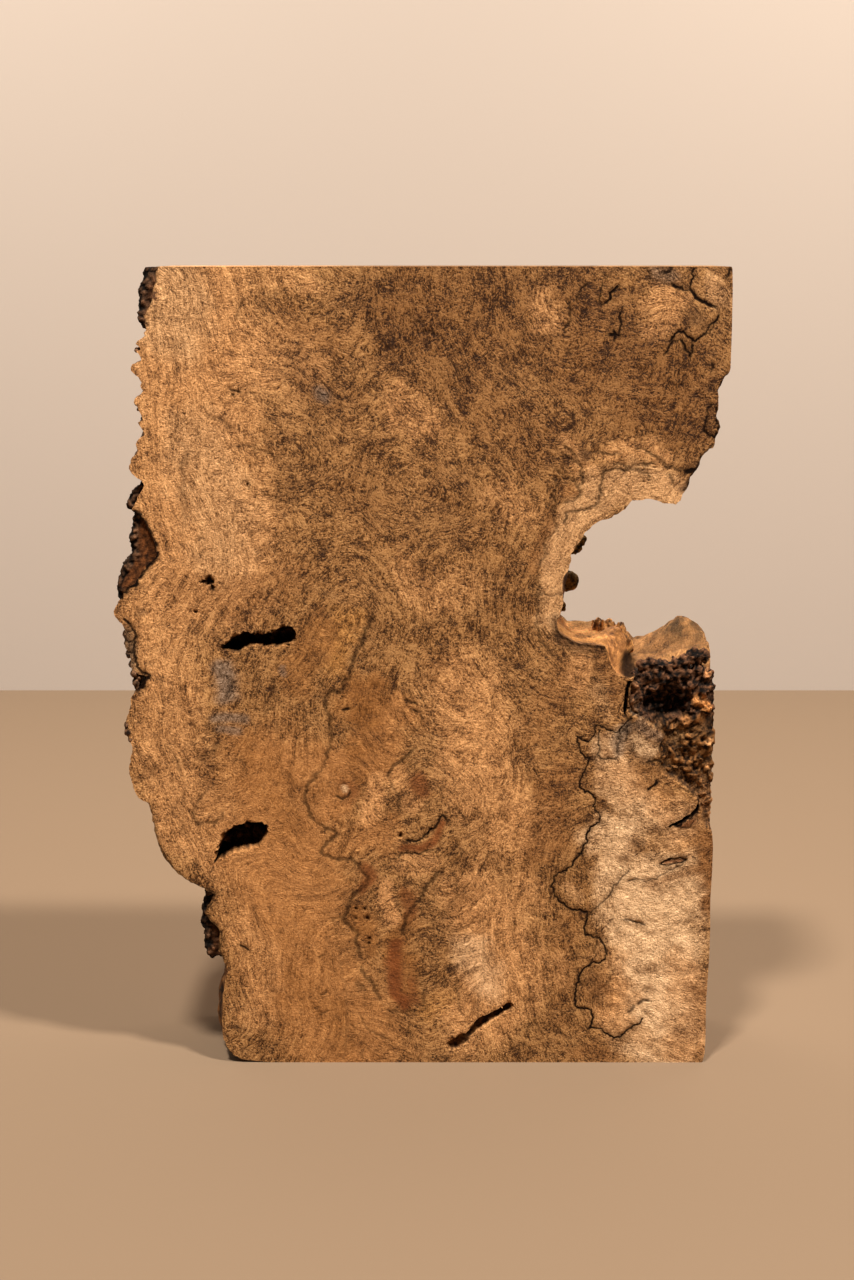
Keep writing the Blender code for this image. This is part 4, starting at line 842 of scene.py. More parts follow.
# Lamps: name, place, target, size in metres and power in watts
LAMP_COLOUR = (1.0, 0.945, 0.87)
LAMPS = [
    ("lamp_left", (-0.52, -1.1, 3.36), (0.0, 0.0, 0.2), 0.3, 139.0),
    ("lamp_right", (1.56, -1.19, 3.36), (0.0, 0.0, 0.2), 0.3, 180.0),
    ("lamp_wall_left", (-0.5, 0.4, 0.8), (-0.42, WALL_Y, 0.4), 0.6, 1.5),
    ("lamp_wall_right", (0.5, 0.4, 0.8), (0.42, WALL_Y, 0.4), 0.6, 1.5),
    ("lamp_ledge", (0.08, 0.095, 0.335), (0.082, 0.015, 0.222), 0.05, 0.15),
]
ROOM_COLOUR = (1.0, 0.95, 0.9, 1.0)
ROOM_LIGHT = 0.04

# Camera: lens and sensor in millimetres, place in metres, and tilt below level in degrees
LENS_LENGTH = 50.0
SENSOR_WIDTH = 36.0
CAMERA_PLACE = (0.0045, -0.8753, 0.4075)
CAMERA_TILT = 12.37


class Noise:
    """Smooth random values in space, the same in every run."""

    def __init__(self, seed):
        draw = np.random.default_rng(seed)
        self.order = draw.permutation(256)
        slopes = draw.normal(size=(256, 3))
        self.slopes = slopes / np.linalg.norm(slopes, axis=1)[:, None]

    def at(self, points):
        """Return values between about -1 and 1."""
        cell = np.floor(points).astype(int)
        inside = points - cell
        ease = inside ** 3 * (inside * (inside * 6.0 - 15.0) + 10.0)
        total = np.zeros(len(points))
        for corner in itertools.product((0, 1), repeat=3):
            step = np.array(corner)
            place = cell + step
            pick = self.order[place[:, 0] & 255]
            pick = self.order[(pick + place[:, 1]) & 255]
            pick = self.order[(pick + place[:, 2]) & 255]
            value = np.einsum("ij,ij->i", self.slopes[pick], inside - step)
            total += value * np.prod(np.where(step == 1, ease, 1.0 - ease), axis=1)
        return total * 1.7


FIELDS = [Noise(seed) for seed in (3, 14, 27, 41, 58, 66)]


def rough(x, y, z, length, field=0, octaves=1):
    """Fractal noise whose largest features are about the given length in millimetres."""
    points = np.stack(np.broadcast_arrays(x, y, z), axis=-1) / length
    total = np.zeros(len(points))
    size = 1.0
    for octave in range(octaves):
        total += FIELDS[field].at(points + 19.7 * octave) * size
        points = points * 2.03
        size *= 0.55
    return total


def smooth_step(value, low, high):
    """Rise smoothly from 0 at low to 1 at high."""
    share = np.clip((value - low) / (high - low), 0.0, 1.0)
    return share * share * (3.0 - 2.0 * share)


def line_length(points):
    """Return a polyline's length."""
    return float(np.hypot(*np.diff(np.array(points, dtype=float), axis=0).T).sum())


def resample(points, count):
    """Spread count points evenly along a polyline, ends included."""
    line = np.array(points, dtype=float)
    reach = np.concatenate([[0.0], np.cumsum(np.hypot(*np.diff(line[:, :2], axis=0).T))])
    wanted = np.linspace(0.0, reach[-1], count)
    return np.stack([np.interp(wanted, reach, column) for column in line.T], axis=-1)


def places_near(x, z, line, margin):
    """Return the numbers of the places inside a line's box, widened by a margin."""
    low = line.min(axis=0) - margin
    high = line.max(axis=0) + margin
    return np.where((x > low[0]) & (x < high[0]) & (z > low[1]) & (z < high[1]))[0]


def line_distance(x, z, points):
    """Return each place's distance to a polyline, for places near it, and a large value elsewhere."""
    line = np.array(points, dtype=float)
    result = np.full(len(x), FAR)
    near = places_near(x, z, line, LINE_MARGIN)
    best = np.full(len(near), FAR * FAR)
    for start, end in zip(line, line[1:]):
        along = end - start
        share = (x[near] - start[0]) * along[0] + (z[near] - start[1]) * along[1]
        share = np.clip(share / max(along @ along, 1e-9), 0.0, 1.0)
        gap_x = x[near] - start[0] - share * along[0]
        gap_z = z[near] - start[1] - share * along[1]
        best = np.minimum(best, gap_x * gap_x + gap_z * gap_z)
    result[near] = np.sqrt(best)
    return result


def inside_outline(x, z, outline):
    """Say for each place whether it lies inside a closed outline."""
    ring = np.array(outline, dtype=float)
    inside = np.zeros(len(x), dtype=bool)
    for (x0, z0), (x1, z1) in zip(ring, np.roll(ring, -1, axis=0)):
        if z0 == z1:
            continue
        crosses = (z0 > z) != (z1 > z)
        inside ^= crosses & (x < (x1 - x0) * (z - z0) / (z1 - z0) + x0)
    return inside


def flow(x, y, z):
    """Shift places in the wood to where the front face shows the same figure."""
    share = (y - FRONT) / THICKNESS
    shift_x = FLOW * rough(x, 0.0, z, FLOW_LENGTH, 1) + 0.25 * FLOW * rough(x, y, z, 14.0, 2)
    shift_z = FLOW * rough(x, 50.0, z, FLOW_LENGTH, 1) + 0.25 * FLOW * rough(x, y + 70.0, z, 14.0, 2)
    return x - shift_x * share, z - shift_z * share


def flow_back(x, y, z):
    """Find the place at depth y whose figure is that of the front face at x and z."""
    new_x, new_z = x.copy(), z.copy()
    for _ in range(10):
        there_x, there_z = flow(new_x, y, new_z)
        new_x = new_x + 0.8 * (x - there_x)
        new_z = new_z + 0.8 * (z - there_z)
    return new_x, new_z


def drift(x, y, z, length):
    """Return two independent smooth random values for x and z, those of the solid's own edge."""
    place = Vector((x, y, z)) / length
    return noise.noise(place), noise.noise(place + Vector((31.0, 7.0, 3.0)))


def wander(ring, depth):
    """Move the outline as the live edge goes back, but leave sawn edges and the tip in place."""
    x, z = ring[:, 0].copy(), ring[:, 1].copy()
    hold = smooth_step(np.minimum(z, HEIGHT - z), 0.0, SAWN_MARGIN)
    hold *= smooth_step(SAWN_X - x, 0.0, SAWN_SIDE_MARGIN) * smooth_step(x - TIP_X, 0.0, TIP_MARGIN)
    hold *= smooth_step(depth, 0.0, 0.3)
    y = depth * THICKNESS
    slow = np.array([drift(px, y, pz, WANDER_LENGTH) for px, pz in ring])
    fast = np.array([drift(px, y, pz, RIDGE_LENGTH) for px, pz in ring])
    x += hold * (WANDER * slow[:, 0] + RIDGE * fast[:, 0])
    z += hold * (WANDER * slow[:, 1] + RIDGE * fast[:, 1])
    for pull_x, pull_z, amount, reach, first, last in EDGE_PULLS:
        away = np.hypot(x - pull_x, z - pull_z) / reach
        x += amount * np.exp(-away * away) * smooth_step(depth, first, last)
    return np.stack([x, z], axis=-1)


def outline_rows():
    """Return the front, middle and back outlines with points that match, and each point's raggedness."""
    rows = [[], [], []]
    ragged = []
    for place, section in enumerate(SECTIONS):
        after = SECTIONS[(place + 1) % len(SECTIONS)]
        lines = [list(section[layer]) + [after[layer][0]] for layer in range(3)]
        count = int(max(line_length(line) for line in lines) / EDGE_STEP) + 2
        for layer in range(3):
            rows[layer].append(resample(lines[layer], count)[:-1])
        ragged += [section[3]] * (count - 1)
    return [np.concatenate(row) for row in rows], np.array(ragged)


OUTLINES, RAGGED = outline_rows()


def sideways(line):
    """Return the unit direction across a line at each of its points."""
    along = np.gradient(line, axis=0)
    along /= np.maximum(np.hypot(*along.T), 1e-6)[:, None]
    return np.stack([-along[:, 1], along[:, 0]], axis=-1)


def slab_ring(depth):
    """Return the slab's outline at a depth from 0 to 1, with its fine raggedness."""
    first, second = (0, 1) if depth < 0.5 else (1, 2)
    share = smooth_step(depth, 0.5 * first, 0.5 * second)
    ring = wander(OUTLINES[first] + (OUTLINES[second] - OUTLINES[first]) * share, depth)
    along = np.roll(ring, -1, axis=0) - np.roll(ring, 1, axis=0)
    along /= np.maximum(np.hypot(*along.T), 1e-6)[:, None]
    outward = np.stack([along[:, 1], -along[:, 0]], axis=-1)
    x, z = ring.T
    y = np.full(len(ring), depth * THICKNESS)
    fray = 0.55 * rough(x, y * 0.5, z, 3.4, 3) + 0.4 * rough(x, y, z, 1.7, 4)
    fray += smooth_step(depth, 0.0, 0.12) * 0.9 * rough(x, y, z, 6.5, 5, 2)
    hold = smooth_step(np.minimum(z, HEIGHT - z), 0.4, 4.0) * RAGGED
    ring = ring + outward * (fray * hold)[:, None]
    ring[:, 1] = np.clip(ring[:, 1], 0.0, HEIGHT)
    ring[:, 0] = np.clip(ring[:, 0], TIP_X - 0.4, SAWN_X)
    return ring


def fine_line(points, half_width):
    """Return a given line at a fine step, with the small wobble that growth gives it."""
    count = max(int(line_length(points) / LINE_STEP) + 1, 3)
    line = resample(points, count)
    x, z = line[:, 0], line[:, 1]
    ease = np.minimum(np.arange(count), np.arange(count)[::-1]) / 3.0
    ease = np.clip(ease, 0.0, 1.0) * min(1.0, 0.4 + half_width)
    move_x = rough(x, 0.0, z, LINE_WOBBLE_LENGTH, 2, 3) * LINE_WOBBLE * ease
    move_z = rough(x, 9.0, z, LINE_WOBBLE_LENGTH, 2, 3) * LINE_WOBBLE * ease
    return np.stack([x + move_x, z + move_z], axis=-1)


FINE_LINES = {name: fine_line(points, half) for name, (half, _, points) in LINES.items()}


def hollow_stations(stations):
    """Return a hollow's middle line and half width at a fine step, a little irregular."""
    count = int(line_length([station[:2] for station in stations]) / HOLLOW_STEP) + 2
    fine = resample(stations, count)
    uneven = rough(fine[:, 0], 5.0, fine[:, 1], 2.6, 3, 2)
    fine[:, 2] *= 1.0 + 0.3 * uneven
    fine[:, 1] += 0.4 * rough(fine[:, 0], 15.0, fine[:, 1], 2.2, 4, 2)
    return fine


FINE_HOLLOWS = {name: (depth, hollow_stations(stations)) for name, (depth, stations) in HOLLOWS.items()}


def hollow_loop(stations, scale):
    """Return the closed outline of a hollow whose half widths are scaled."""
    middle = stations[:, :2]
    across = sideways(middle) * stations[:, 2:] * scale
    every = slice(None, None, 2)
    return np.concatenate([(middle + across)[every], (middle - across)[::-1][every]])


def hollow_depth(x, z):
    """Return how deep the open hollows are at each place, and 0 outside them."""
    deepest = np.zeros(len(x))
    shares, levels = np.array(HOLLOW_PROFILE).T
    for depth, stations in FINE_HOLLOWS.values():
        near = places_near(x, z, stations[:, :2], HOLLOW_MARGIN)
        if len(near) == 0:
            continue
        gaps = np.hypot(x[near, None] - stations[:, 0], z[near, None] - stations[:, 1]) / stations[:, 2]
        level = np.interp(gaps.min(axis=1), shares, levels)
        uneven = 0.82 + 0.3 * rough(x[near], 0.0, z[near], 3.6, 2, 2)
        deepest[near] = np.maximum(deepest[near], depth * level * uneven)
    return deepest


def crater_share(x, z):
    """How far inside the burl bark's crater each place is, from 0 to 1."""
    centre_x, centre_z, half_width, half_height, _ = CRATER
    uneven = 0.22 * rough(x, 0.0, z, 5.0, 2, 2)
    reach = np.hypot((x - centre_x) / half_width, (z - centre_z) / half_height) + uneven
    return 1.0 - smooth_step(reach, 0.5, 1.0)


def patch_depth(x, z):
    """Depth of the burl's own surface below the sawn face, and 0 outside its patch."""
    slope = PATCH_SLOPE_X * np.maximum(x - PATCH_LEFT, 0.0) + PATCH_SLOPE_Z * np.maximum(z - PATCH_RISE, 0.0)
    slope = slope + CRATER[4] * crater_share(x, z)
    inside = inside_outline(x, z, BARK_PATCH)
    rim = line_distance(x, z, BARK_PATCH + BARK_PATCH[:1])
    return (PATCH_DEPTH + slope) * smooth_step(rim, 0.0, PATCH_RAMP) * inside


def punky_share(x, z):
    """How soft and eroded the wood is at each place."""
    share = np.zeros(len(x))
    for centre_x, centre_z, radius in PUNKY:
        share = np.maximum(share, 1.0 - smooth_step(np.hypot(x - centre_x, z - centre_z) / radius, 0.6, 1.0))
    return share * smooth_step(x, 80.0, 92.0)


def line_ink(x, z, fringe):
    """Return how dark the lines make each place, from 0 to 1."""
    ink_and_shade = np.zeros(len(x))
    swell = 0.9 + 0.55 * rough(x, 7.0, z, 4.2, 3, 2)
    fade = np.clip(1.0 + 0.4 * rough(x, 17.0, z, 6.0, 1, 2), 0.62, 1.0)
    for name, (half, strength, _) in LINES.items():
        gap = line_distance(x, z, FINE_LINES[name])
        reach = half * swell
        kept = np.maximum(fade, min(1.0, max(0.0, (strength - 0.72) * 5.0)))
        dark = strength * (1.0 - smooth_step(gap, reach * 0.7, reach + fringe)) * kept
        halo = 0.22 * strength * (1.0 - smooth_step(gap, 0.5, 3.2)) * fade
        ink_and_shade = np.maximum(ink_and_shade, np.maximum(dark, halo))
    return ink_and_shade


def pit_depth(x, z):
    """Return how deep the worm holes and pits are at each place."""
    depth = np.zeros(len(x))
    for pit_x, pit_z, radius, deep in PITS:
        gap = np.hypot(x - pit_x, z - pit_z)
        depth = np.maximum(depth, deep * (1.0 - smooth_step(gap, radius * 0.55, radius * 1.15)))
    return depth


def front_relief(x, z):
    """Return how far the front face lies behind its sawn plane."""
    punky = punky_share(x, z)
    relief = 0.16 + 0.1 * rough(x, 0.0, z, 2.8, 4, 2) + 0.10 * rough(x, 3.0, z, 14.0, 1)
    worn = 0.6 + 0.6 * rough((x - z) * 0.5, 0.0, (x + z) * 0.9, 7.0, 3, 4)
    relief += punky * np.clip(worn, 0.0, 1.9)
    relief += LINE_GROOVE * line_ink(x, z, 0.3)
    relief += pit_depth(x, z)
    return np.maximum.reduce([relief, hollow_depth(x, z), patch_depth(x, z)])


def back_relief(x, z):
    """Return how far the back face lies in front of its sawn plane."""
    there_x, there_z = flow(x, np.full(len(x), BACK), z)
    relief = np.maximum(0.12 + 0.08 * rough(x, 40.0, z, 3.4, 4, 2), 0.02)
    worn = np.clip(0.5 + 0.5 * rough(x, 44.0, z, 7.0, 3, 3), 0.0, 1.4)
    return relief + 0.5 * punky_share(there_x, there_z) * worn


def line_fixtures(lines, widths):
    """Return points along each line and beside it, and the edges that join those on the line."""
    points = []
    edges = []
    for line in lines:
        start = len(points)
        points += line.tolist()
        edges += [(start + place, start + place + 1) for place in range(len(line) - 1)]
    for line, half in zip(lines, widths):
        across = sideways(line)
        for reach in (half * 0.75, half + LINE_FRINGE):
            for side in (-1.0, 1.0):
                points += (line + across * reach * side).tolist()
    return points, edges


def point_tree(points):
    """Return a search tree of flat points."""
    tree = KDTree(len(points))
    for place, (x, z) in enumerate(points):
        tree.insert((x, z, 0.0), place)
    tree.balance()
    return tree


def thin_out(points, keep, first, last):
    """Drop the points beside the lines that crowd a line, a loop or an earlier point."""
    tree = point_tree(points)
    for place in range(first, last):
        if not keep[place]:
            continue
        for _, other, _ in tree.find_range((*points[place], 0.0), POINT_CLEAR):
            if other != place and keep[other] and (other < place or other >= last):
                keep[place] = False
                break


def triangulate_face(ring, step, lines, widths, loops, seed):
    """Fill an outline with fine triangles that follow its lines and loops."""
    fixed, edges = line_fixtures(lines, widths)
    line_count = sum(len(line) for line in lines)
    loop_start = len(fixed)
    for loop in loops:
        start = len(fixed)
        fixed += loop.tolist()
        edges += [(start + place, start + (place + 1) % len(loop)) for place in range(len(loop))]
    fixed = np.array(fixed)
    keep = inside_outline(fixed[:, 0], fixed[:, 1], ring)
    rim = line_distance(fixed[:, 0], fixed[:, 1], np.concatenate([ring, ring[:1]]))
    keep &= rim > RIM_CLEAR
    thin_out(fixed, keep, line_count, loop_start)
    count = len(ring)
    numbers = np.cumsum(keep) - 1 + count
    edges = [(int(numbers[a]), int(numbers[b])) for a, b in edges if keep[a] and keep[b]]
    edges += [(place, (place + 1) % count) for place in range(count)]
    anchors = np.concatenate([ring, fixed[keep]])
    points = np.concatenate([anchors, fill_points(ring, anchors, step, seed)])
    vectors = [Vector(point) for point in points.tolist()]
    found, _, faces, origins, _, _ = delaunay_2d_cdt(vectors, edges, [], 0, 1e-6, True)
    found = np.array([tuple(point) for point in found])
    faces = np.array(faces)
    middles = found[faces].mean(axis=1)
    faces = faces[inside_outline(middles[:, 0], middles[:, 1], ring)]
    rim_places = [-1] * count
    for place, sources in enumerate(origins):
        for source in sources:
            if source < count:
                rim_places[source] = place
    return found, faces.tolist(), rim_places


def fill_points(ring, anchors, step, seed):
    """Return a jittered grid inside an outline, clear of the anchor points."""
    draw = np.random.default_rng(seed)
    low = ring.min(axis=0)
    high = ring.max(axis=0)
    rows = np.arange(low[1], high[1], step * math.sqrt(0.75))
    columns = np.arange(low[0], high[0], step)
    x, z = np.meshgrid(columns, rows)
    x = x + (np.arange(len(rows)) % 2)[:, None] * step * 0.5
    points = np.stack([x.ravel(), z.ravel()], axis=-1)
    points += draw.uniform(-0.22, 0.22, points.shape) * step
    points = points[inside_outline(points[:, 0], points[:, 1], ring)]
    tree = point_tree(anchors)
    clear = [tree.find((x, z, 0.0))[2] > step * 0.55 for x, z in points]
    return points[np.array(clear)]


def build_board():
    """Build the wood of the board as one closed mesh, and return its points and faces."""
    widths = [half for half, _, _ in LINES.values()]
    loops = []
    for _, stations in FINE_HOLLOWS.values():
        loops += [hollow_loop(stations, scale) for scale in HOLLOW_LOOPS]
    front_lines = list(FINE_LINES.values())
    points, faces, front_rim = triangulate_face(
        slab_ring(0.0), FRONT_STEP, front_lines, widths, loops, FRONT_SEED)
    back_lines = []
    for line in front_lines:
        x, z = line[::2].T
        back_lines.append(np.stack(flow_back(x, np.full(len(x), BACK), z), axis=-1))
    back_points, back_faces, back_rim = triangulate_face(
        slab_ring(1.0), BACK_STEP, back_lines, widths, [], BACK_SEED)

    front_y = FRONT + front_relief(points[:, 0], points[:, 1])
    vertices = [np.stack([points[:, 0], front_y, points[:, 1]], axis=-1)]
    triangles = [tuple(face) for face in faces]
    total = len(points)
    rim_relief = front_y[front_rim] - FRONT
    rim_rows = [list(front_rim)]
    for depth in SECTION_DEPTHS:
        share = depth / THICKNESS
        ring = slab_ring(share)
        y = FRONT + rim_relief + (THICKNESS - rim_relief) * share
        vertices.append(np.stack([ring[:, 0], y, ring[:, 1]], axis=-1))
        rim_rows.append(list(range(total, total + len(ring))))
        total += len(ring)
    back_y = BACK - back_relief(back_points[:, 0], back_points[:, 1])
    vertices.append(np.stack([back_points[:, 0], back_y, back_points[:, 1]], axis=-1))
    rim_rows.append([total + place for place in back_rim])
    triangles += [tuple(total + place for place in reversed(face)) for face in back_faces]
    for near, far in zip(rim_rows, rim_rows[1:]):
        for here in range(len(near)):
            after = (here + 1) % len(near)
            triangles.append((near[after], near[here], far[here], far[after]))
    return np.concatenate(vertices), triangles


def new_item(name, data):
    """Make an object and add it to the scene."""
    item = bpy.data.objects.new(name, data)
    bpy.context.scene.collection.objects.link(item)
    return item


def make_object(name, vertices, faces, crease=50.0):
    """Make a smooth-shaded object from points in millimetres."""
    mesh = bpy.data.meshes.new(name)
    place = (np.array(vertices) + np.array([CENTRE_SHIFT, 0.0, 0.0])) * MM
    mesh.from_pydata(place.tolist(), [], faces)
    mesh.update()
    mesh.shade_smooth()
    mesh.set_sharp_from_angle(angle=math.radians(crease))
    return new_item(name, mesh)


def linear(colour):
    """Turn an sRGB colour from 0 to 255 into linear light."""
    value = np.array(colour, dtype=float) / 255.0
    return np.where(value <= 0.04045, value / 12.92, ((value + 0.055) / 1.055) ** 2.4)


def blend(below, above, share):
    """Lay one linear colour over another, each place by its own share."""
    return below + (above - below) * share[:, None]


def shade_between(dark, light, share):
    """Return colours between two sRGB colours."""
    return blend(linear(dark), linear(light), np.clip(share, 0.0, 1.0))


def wash_shift(x, z, layer):
    """Return how far the washes are moved at each place, along x or z."""
    slow = WASH_WARP * rough(x, layer, z, WASH_WARP_LENGTH, 0, 2)
    return slow + WASH_FRAY * rough(x, layer, z, WASH_FRAY_LENGTH, 1)


def wash_colours(x, z):
    """Return the broad colour and the figure's strength at places of the front face."""
    shift_x = wash_shift(x, z, 0.0)
    shift_z = wash_shift(x, z, 30.0)
    tone, strength_there = PALETTE["mid"]
    colour = np.tile(linear(tone), (len(x), 1))
    figure = np.full(len(x), strength_there)
    for name, strength, radius, points in WASHES:
        calm = min(1.0, radius / WASH_CALM_RADIUS)
        gap = line_distance(x + shift_x * calm, z + shift_z * calm, points) / radius
        weight = strength * (1.0 - smooth_step(gap, 0.25, 1.0))
        tone, strength_there = PALETTE[name]
        colour = blend(colour, linear(tone), weight)
        figure += (strength_there - figure) * weight
    return colour, figure


def ring_field(x, z):
    """Return a coordinate that grows across the growth rings, in millimetres."""
    bent_x = x + RING_BEND * rough(x, 0.0, z, RING_BEND_LENGTH, 3, 2)
    bent_z = z + RING_BEND * rough(x, 60.0, z, RING_BEND_LENGTH, 3, 2)
    gaps = [np.hypot(bent_x - centre_x, bent_z - centre_z) for centre_x, centre_z in RING_CENTRES]
    gaps += [line_distance(0.65 * x + 0.35 * bent_x, 0.65 * z + 0.35 * bent_z, line) for line in RING_LINES]
    return -RING_SOFTNESS * np.log(np.exp(-np.stack(gaps) / RING_SOFTNESS).sum(axis=0))


def store_tint(piece, tint):
    """Store the colours of a piece on its points."""
    colours = np.ones((len(tint), 4), dtype=np.float32)
    colours[:, :3] = np.clip(tint, 0.0, 1.0)
    piece.data.attributes.new("tint", "FLOAT_COLOR", "POINT").data.foreach_set("color", colours.ravel())


def paint(piece, x, y, z, tint, figure, ink_and_shade):
    """Store the colours, the figure, the ink with the painted shade of hollows, and the ring coordinate on a
    wood piece's points.
    """
    store_tint(piece, tint)
    there_x, there_z = flow(x, y, z)
    punk = np.where(y < FRONT + 1.5, punky_share(x, z), 0.25)
    values = {"figure": figure, "ink_and_shade": ink_and_shade, "punk": punk, "rings": ring_field(there_x, there_z)}
    for name, value in values.items():
        stored = piece.data.attributes.new(name, "FLOAT", "POINT")
        stored.data.foreach_set("value", value.astype(np.float32))


def area_share(x, z, area):
    """Return how far each place lies inside an area that fades in and out along x and z."""
    (x_in, x_out), (z_in, z_out) = area
    share = smooth_step(x, *x_in) * (1.0 - smooth_step(x, *x_out))
    return share * (smooth_step(z, *z_in) * (1.0 - smooth_step(z, *z_out)))


def side_colours(x, y, z, tint, figure):
    """Colour the live edge, the ledge, the torn slope and the knob, with painted shade and painted light on
    the ledge.
    """
    depth = y - FRONT
    side = smooth_step(depth, 0.8, 3.0) * smooth_step(BACK - y, 0.5, 2.0)
    sawn = (z < 0.6) | (z > HEIGHT - 0.6) | (x > SAWN_X - 1.6)
    live = side * ~sawn
    streak = rough(x, y, z * 0.3, 3.0, 3, 3)
    patches = smooth_step(rough(x, y, z, 9.0, 2, 3), -0.25, 0.35)
    edge = blend(linear(PALETTE["brown"][0]) * 0.9, linear(PALETTE["rim"][0]) * 0.75, patches)

    # The ledge is painted darker near its front, where the lamps reach it, and lighter deeper in, where the
    # notch shades it: painted shade and painted light.
    ledge_painted_light = shade_between(EDGE_TONES["ledge_front_painted_shade"], PALETTE["ledge"][0], smooth_step(depth, 18.0, 30.0))
    ledge_painted_light *= (1.0 + 0.3 * rough(x, y, z, 6.0, 3, 3))[:, None]
    olive = smooth_step(depth + 5.0 * rough(x, y, z, 7.0, 4), 50.0, 60.0)
    ledge_painted_light = blend(ledge_painted_light, linear(EDGE_TONES["olive"]), 0.8 * olive)
    torn = shade_between(EDGE_TONES["torn_dark"], EDGE_TONES["torn_light"], 0.5 + 0.75 * streak)
    honey = linear(EDGE_TONES["knob"]) * (0.94 + 0.5 * rough(x, y, z * 1.8, 5.0, 3, 3))[:, None]
    moss = smooth_step(rough(x, y * 0.7, z * 1.8, 5.0, 4, 3), -0.35, 0.2)
    moss *= smooth_step(z, 212.0, 217.0) * (1.0 - 0.7 * smooth_step(z, 223.0, 226.5))
    honey = blend(honey, linear(EDGE_TONES["moss"]), 0.85 * moss)

    ledge = area_share(x, z, LEDGE_AREA)
    edge = blend(edge, ledge_painted_light, ledge)
    edge = blend(edge, torn, area_share(x, z, SLOPE_AREA))
    edge = blend(edge, honey, area_share(x, z, KNOB_AREA))
    lip = ledge * (1.0 - smooth_step(depth + 1.5 * streak, 2.0, 5.5)) * (1.0 - smooth_step(x, 88.0, 92.0))
    edge = blend(edge, linear(EDGE_TONES["lip"]), 0.9 * lip)
    return blend(tint, edge, live), figure + (0.4 - figure) * live


def colour_board(piece, vertices):
    """Paint the wood from the washes, the lines and the live edge, with painted shade in the hollows, the
    pits and the recess beside the torn slope.
    """
    x, y, z = vertices.T
    there_x, there_z = flow(x, y, z)
    tint, figure = wash_colours(there_x, there_z)
    hollow = hollow_depth(x, z) * (y < FRONT + 17.0)
    tint, figure = side_colours(x, y, z, tint, figure)
    ink_and_shade = line_ink(there_x, there_z, 0.34)
    # Hollows and pits are painted darker the deeper they go: painted shade.
    hollow_shade = smooth_step(hollow, 0.5, 4.5) * np.clip(0.84 + 0.6 * rough(x, y, z, 2.0, 2, 2), 0.45, 1.0)
    hollow_shade = np.maximum(hollow_shade, smooth_step(pit_depth(x, z), 0.2, 0.8) * (y < FRONT + 4.0))
    # Painted shade in the recess beside the torn slope.
    dark_streaks_and_recess_shade = smooth_step(y - FRONT, 0.4, 2.4)
    dark_streaks_and_recess_shade *= 1.0 - smooth_step(np.hypot(x - RECESS_SHADE_X, (z - RECESS_SHADE_Z) * 0.7), 3.0, 6.4)
    ink_and_shade = np.maximum(ink_and_shade, PAINTED_SHADE_DARKNESS * np.maximum(hollow_shade, dark_streaks_and_recess_shade))
    patch = smooth_step(patch_depth(x, z), 0.2, 1.4) * (y < FRONT + 16.0)
    grain = rough(x, y, z, 2.2, 2, 3)
    tint = blend(tint, burl_colours(x, y, z, grain, crater_share(x, z)), patch)
    figure += (1.0 - figure) * patch
    paint(piece, x, y, z, tint, figure, ink_and_shade)


def new_material(name, roughness, specular):
    """Return a material with its node tree and its Principled shader."""
    material = bpy.data.materials.new(name)
    material.use_nodes = True
    shader = material.node_tree.nodes["Principled BSDF"]
    shader.inputs["Roughness"].default_value = roughness
    shader.inputs["Specular IOR Level"].default_value = specular
    return material, material.node_tree, shader


def add_node(tree, kind, inputs=None, **settings):
    """Add a node, set its properties, and fill or link its inputs."""
    node = tree.nodes.new(kind)
    for key, value in settings.items():
        setattr(node, key, value)
    for key, value in (inputs or {}).items():
        if isinstance(value, bpy.types.NodeSocket):
            tree.links.new(value, node.inputs[key])
        else:
            node.inputs[key].default_value = value
    return node


def math_node(tree, operation, first, second=0.0, third=0.0, clamp=False):
    """Return the output of a maths node."""
    inputs = {0: first, 1: second, 2: third}
    return add_node(tree, "ShaderNodeMath", inputs, operation=operation, use_clamp=clamp).outputs[0]


def times(tree, first, second):
    """Return the product of two values."""
    return math_node(tree, "MULTIPLY", first, second)


def plus(tree, first, second):
    """Return the sum of two values."""
    return math_node(tree, "ADD", first, second)


def scaled(tree, value, factor, offset):
    """Return a value times a factor, plus an offset."""
    return math_node(tree, "MULTIPLY_ADD", value, factor, offset)


def noise_node(tree, vector, scale, detail, roughness, distortion=0.0):
    """Return the value of a noise texture."""
    inputs = {
        "Vector": vector, "Scale": scale, "Detail": detail, "Roughness": roughness, "Distortion": distortion,
    }
    return add_node(tree, "ShaderNodeTexNoise", inputs).outputs[0]


def attribute(tree, name, output):
    """Return a point attribute's socket."""
    return add_node(tree, "ShaderNodeAttribute", attribute_name=name).outputs[output]


def ramp(tree, factor, stops):
    """Return a colour ramp's colour, from stops of position and linear colour."""
    node = add_node(tree, "ShaderNodeValToRGB", {"Fac": factor})
    elements = node.color_ramp.elements
    while len(elements) < len(stops):
        elements.new(0.5)
    for element, (place, colour) in zip(elements, stops):
        element.position = place
        element.color = (*colour, 1.0)
    return node.outputs["Color"]


def mix_colour(tree, mode, factor, first, second):
    """Return two colours mixed."""
    inputs = {0: factor, 6: first, 7: second}
    settings = {"data_type": "RGBA", "blend_type": mode, "clamp_factor": True}
    return add_node(tree, "ShaderNodeMix", inputs, **settings).outputs[2]


def vector_node(tree, operation, inputs):
    """Return the output of a vector maths node."""
    return add_node(tree, "ShaderNodeVectorMath", inputs, operation=operation).outputs[0]


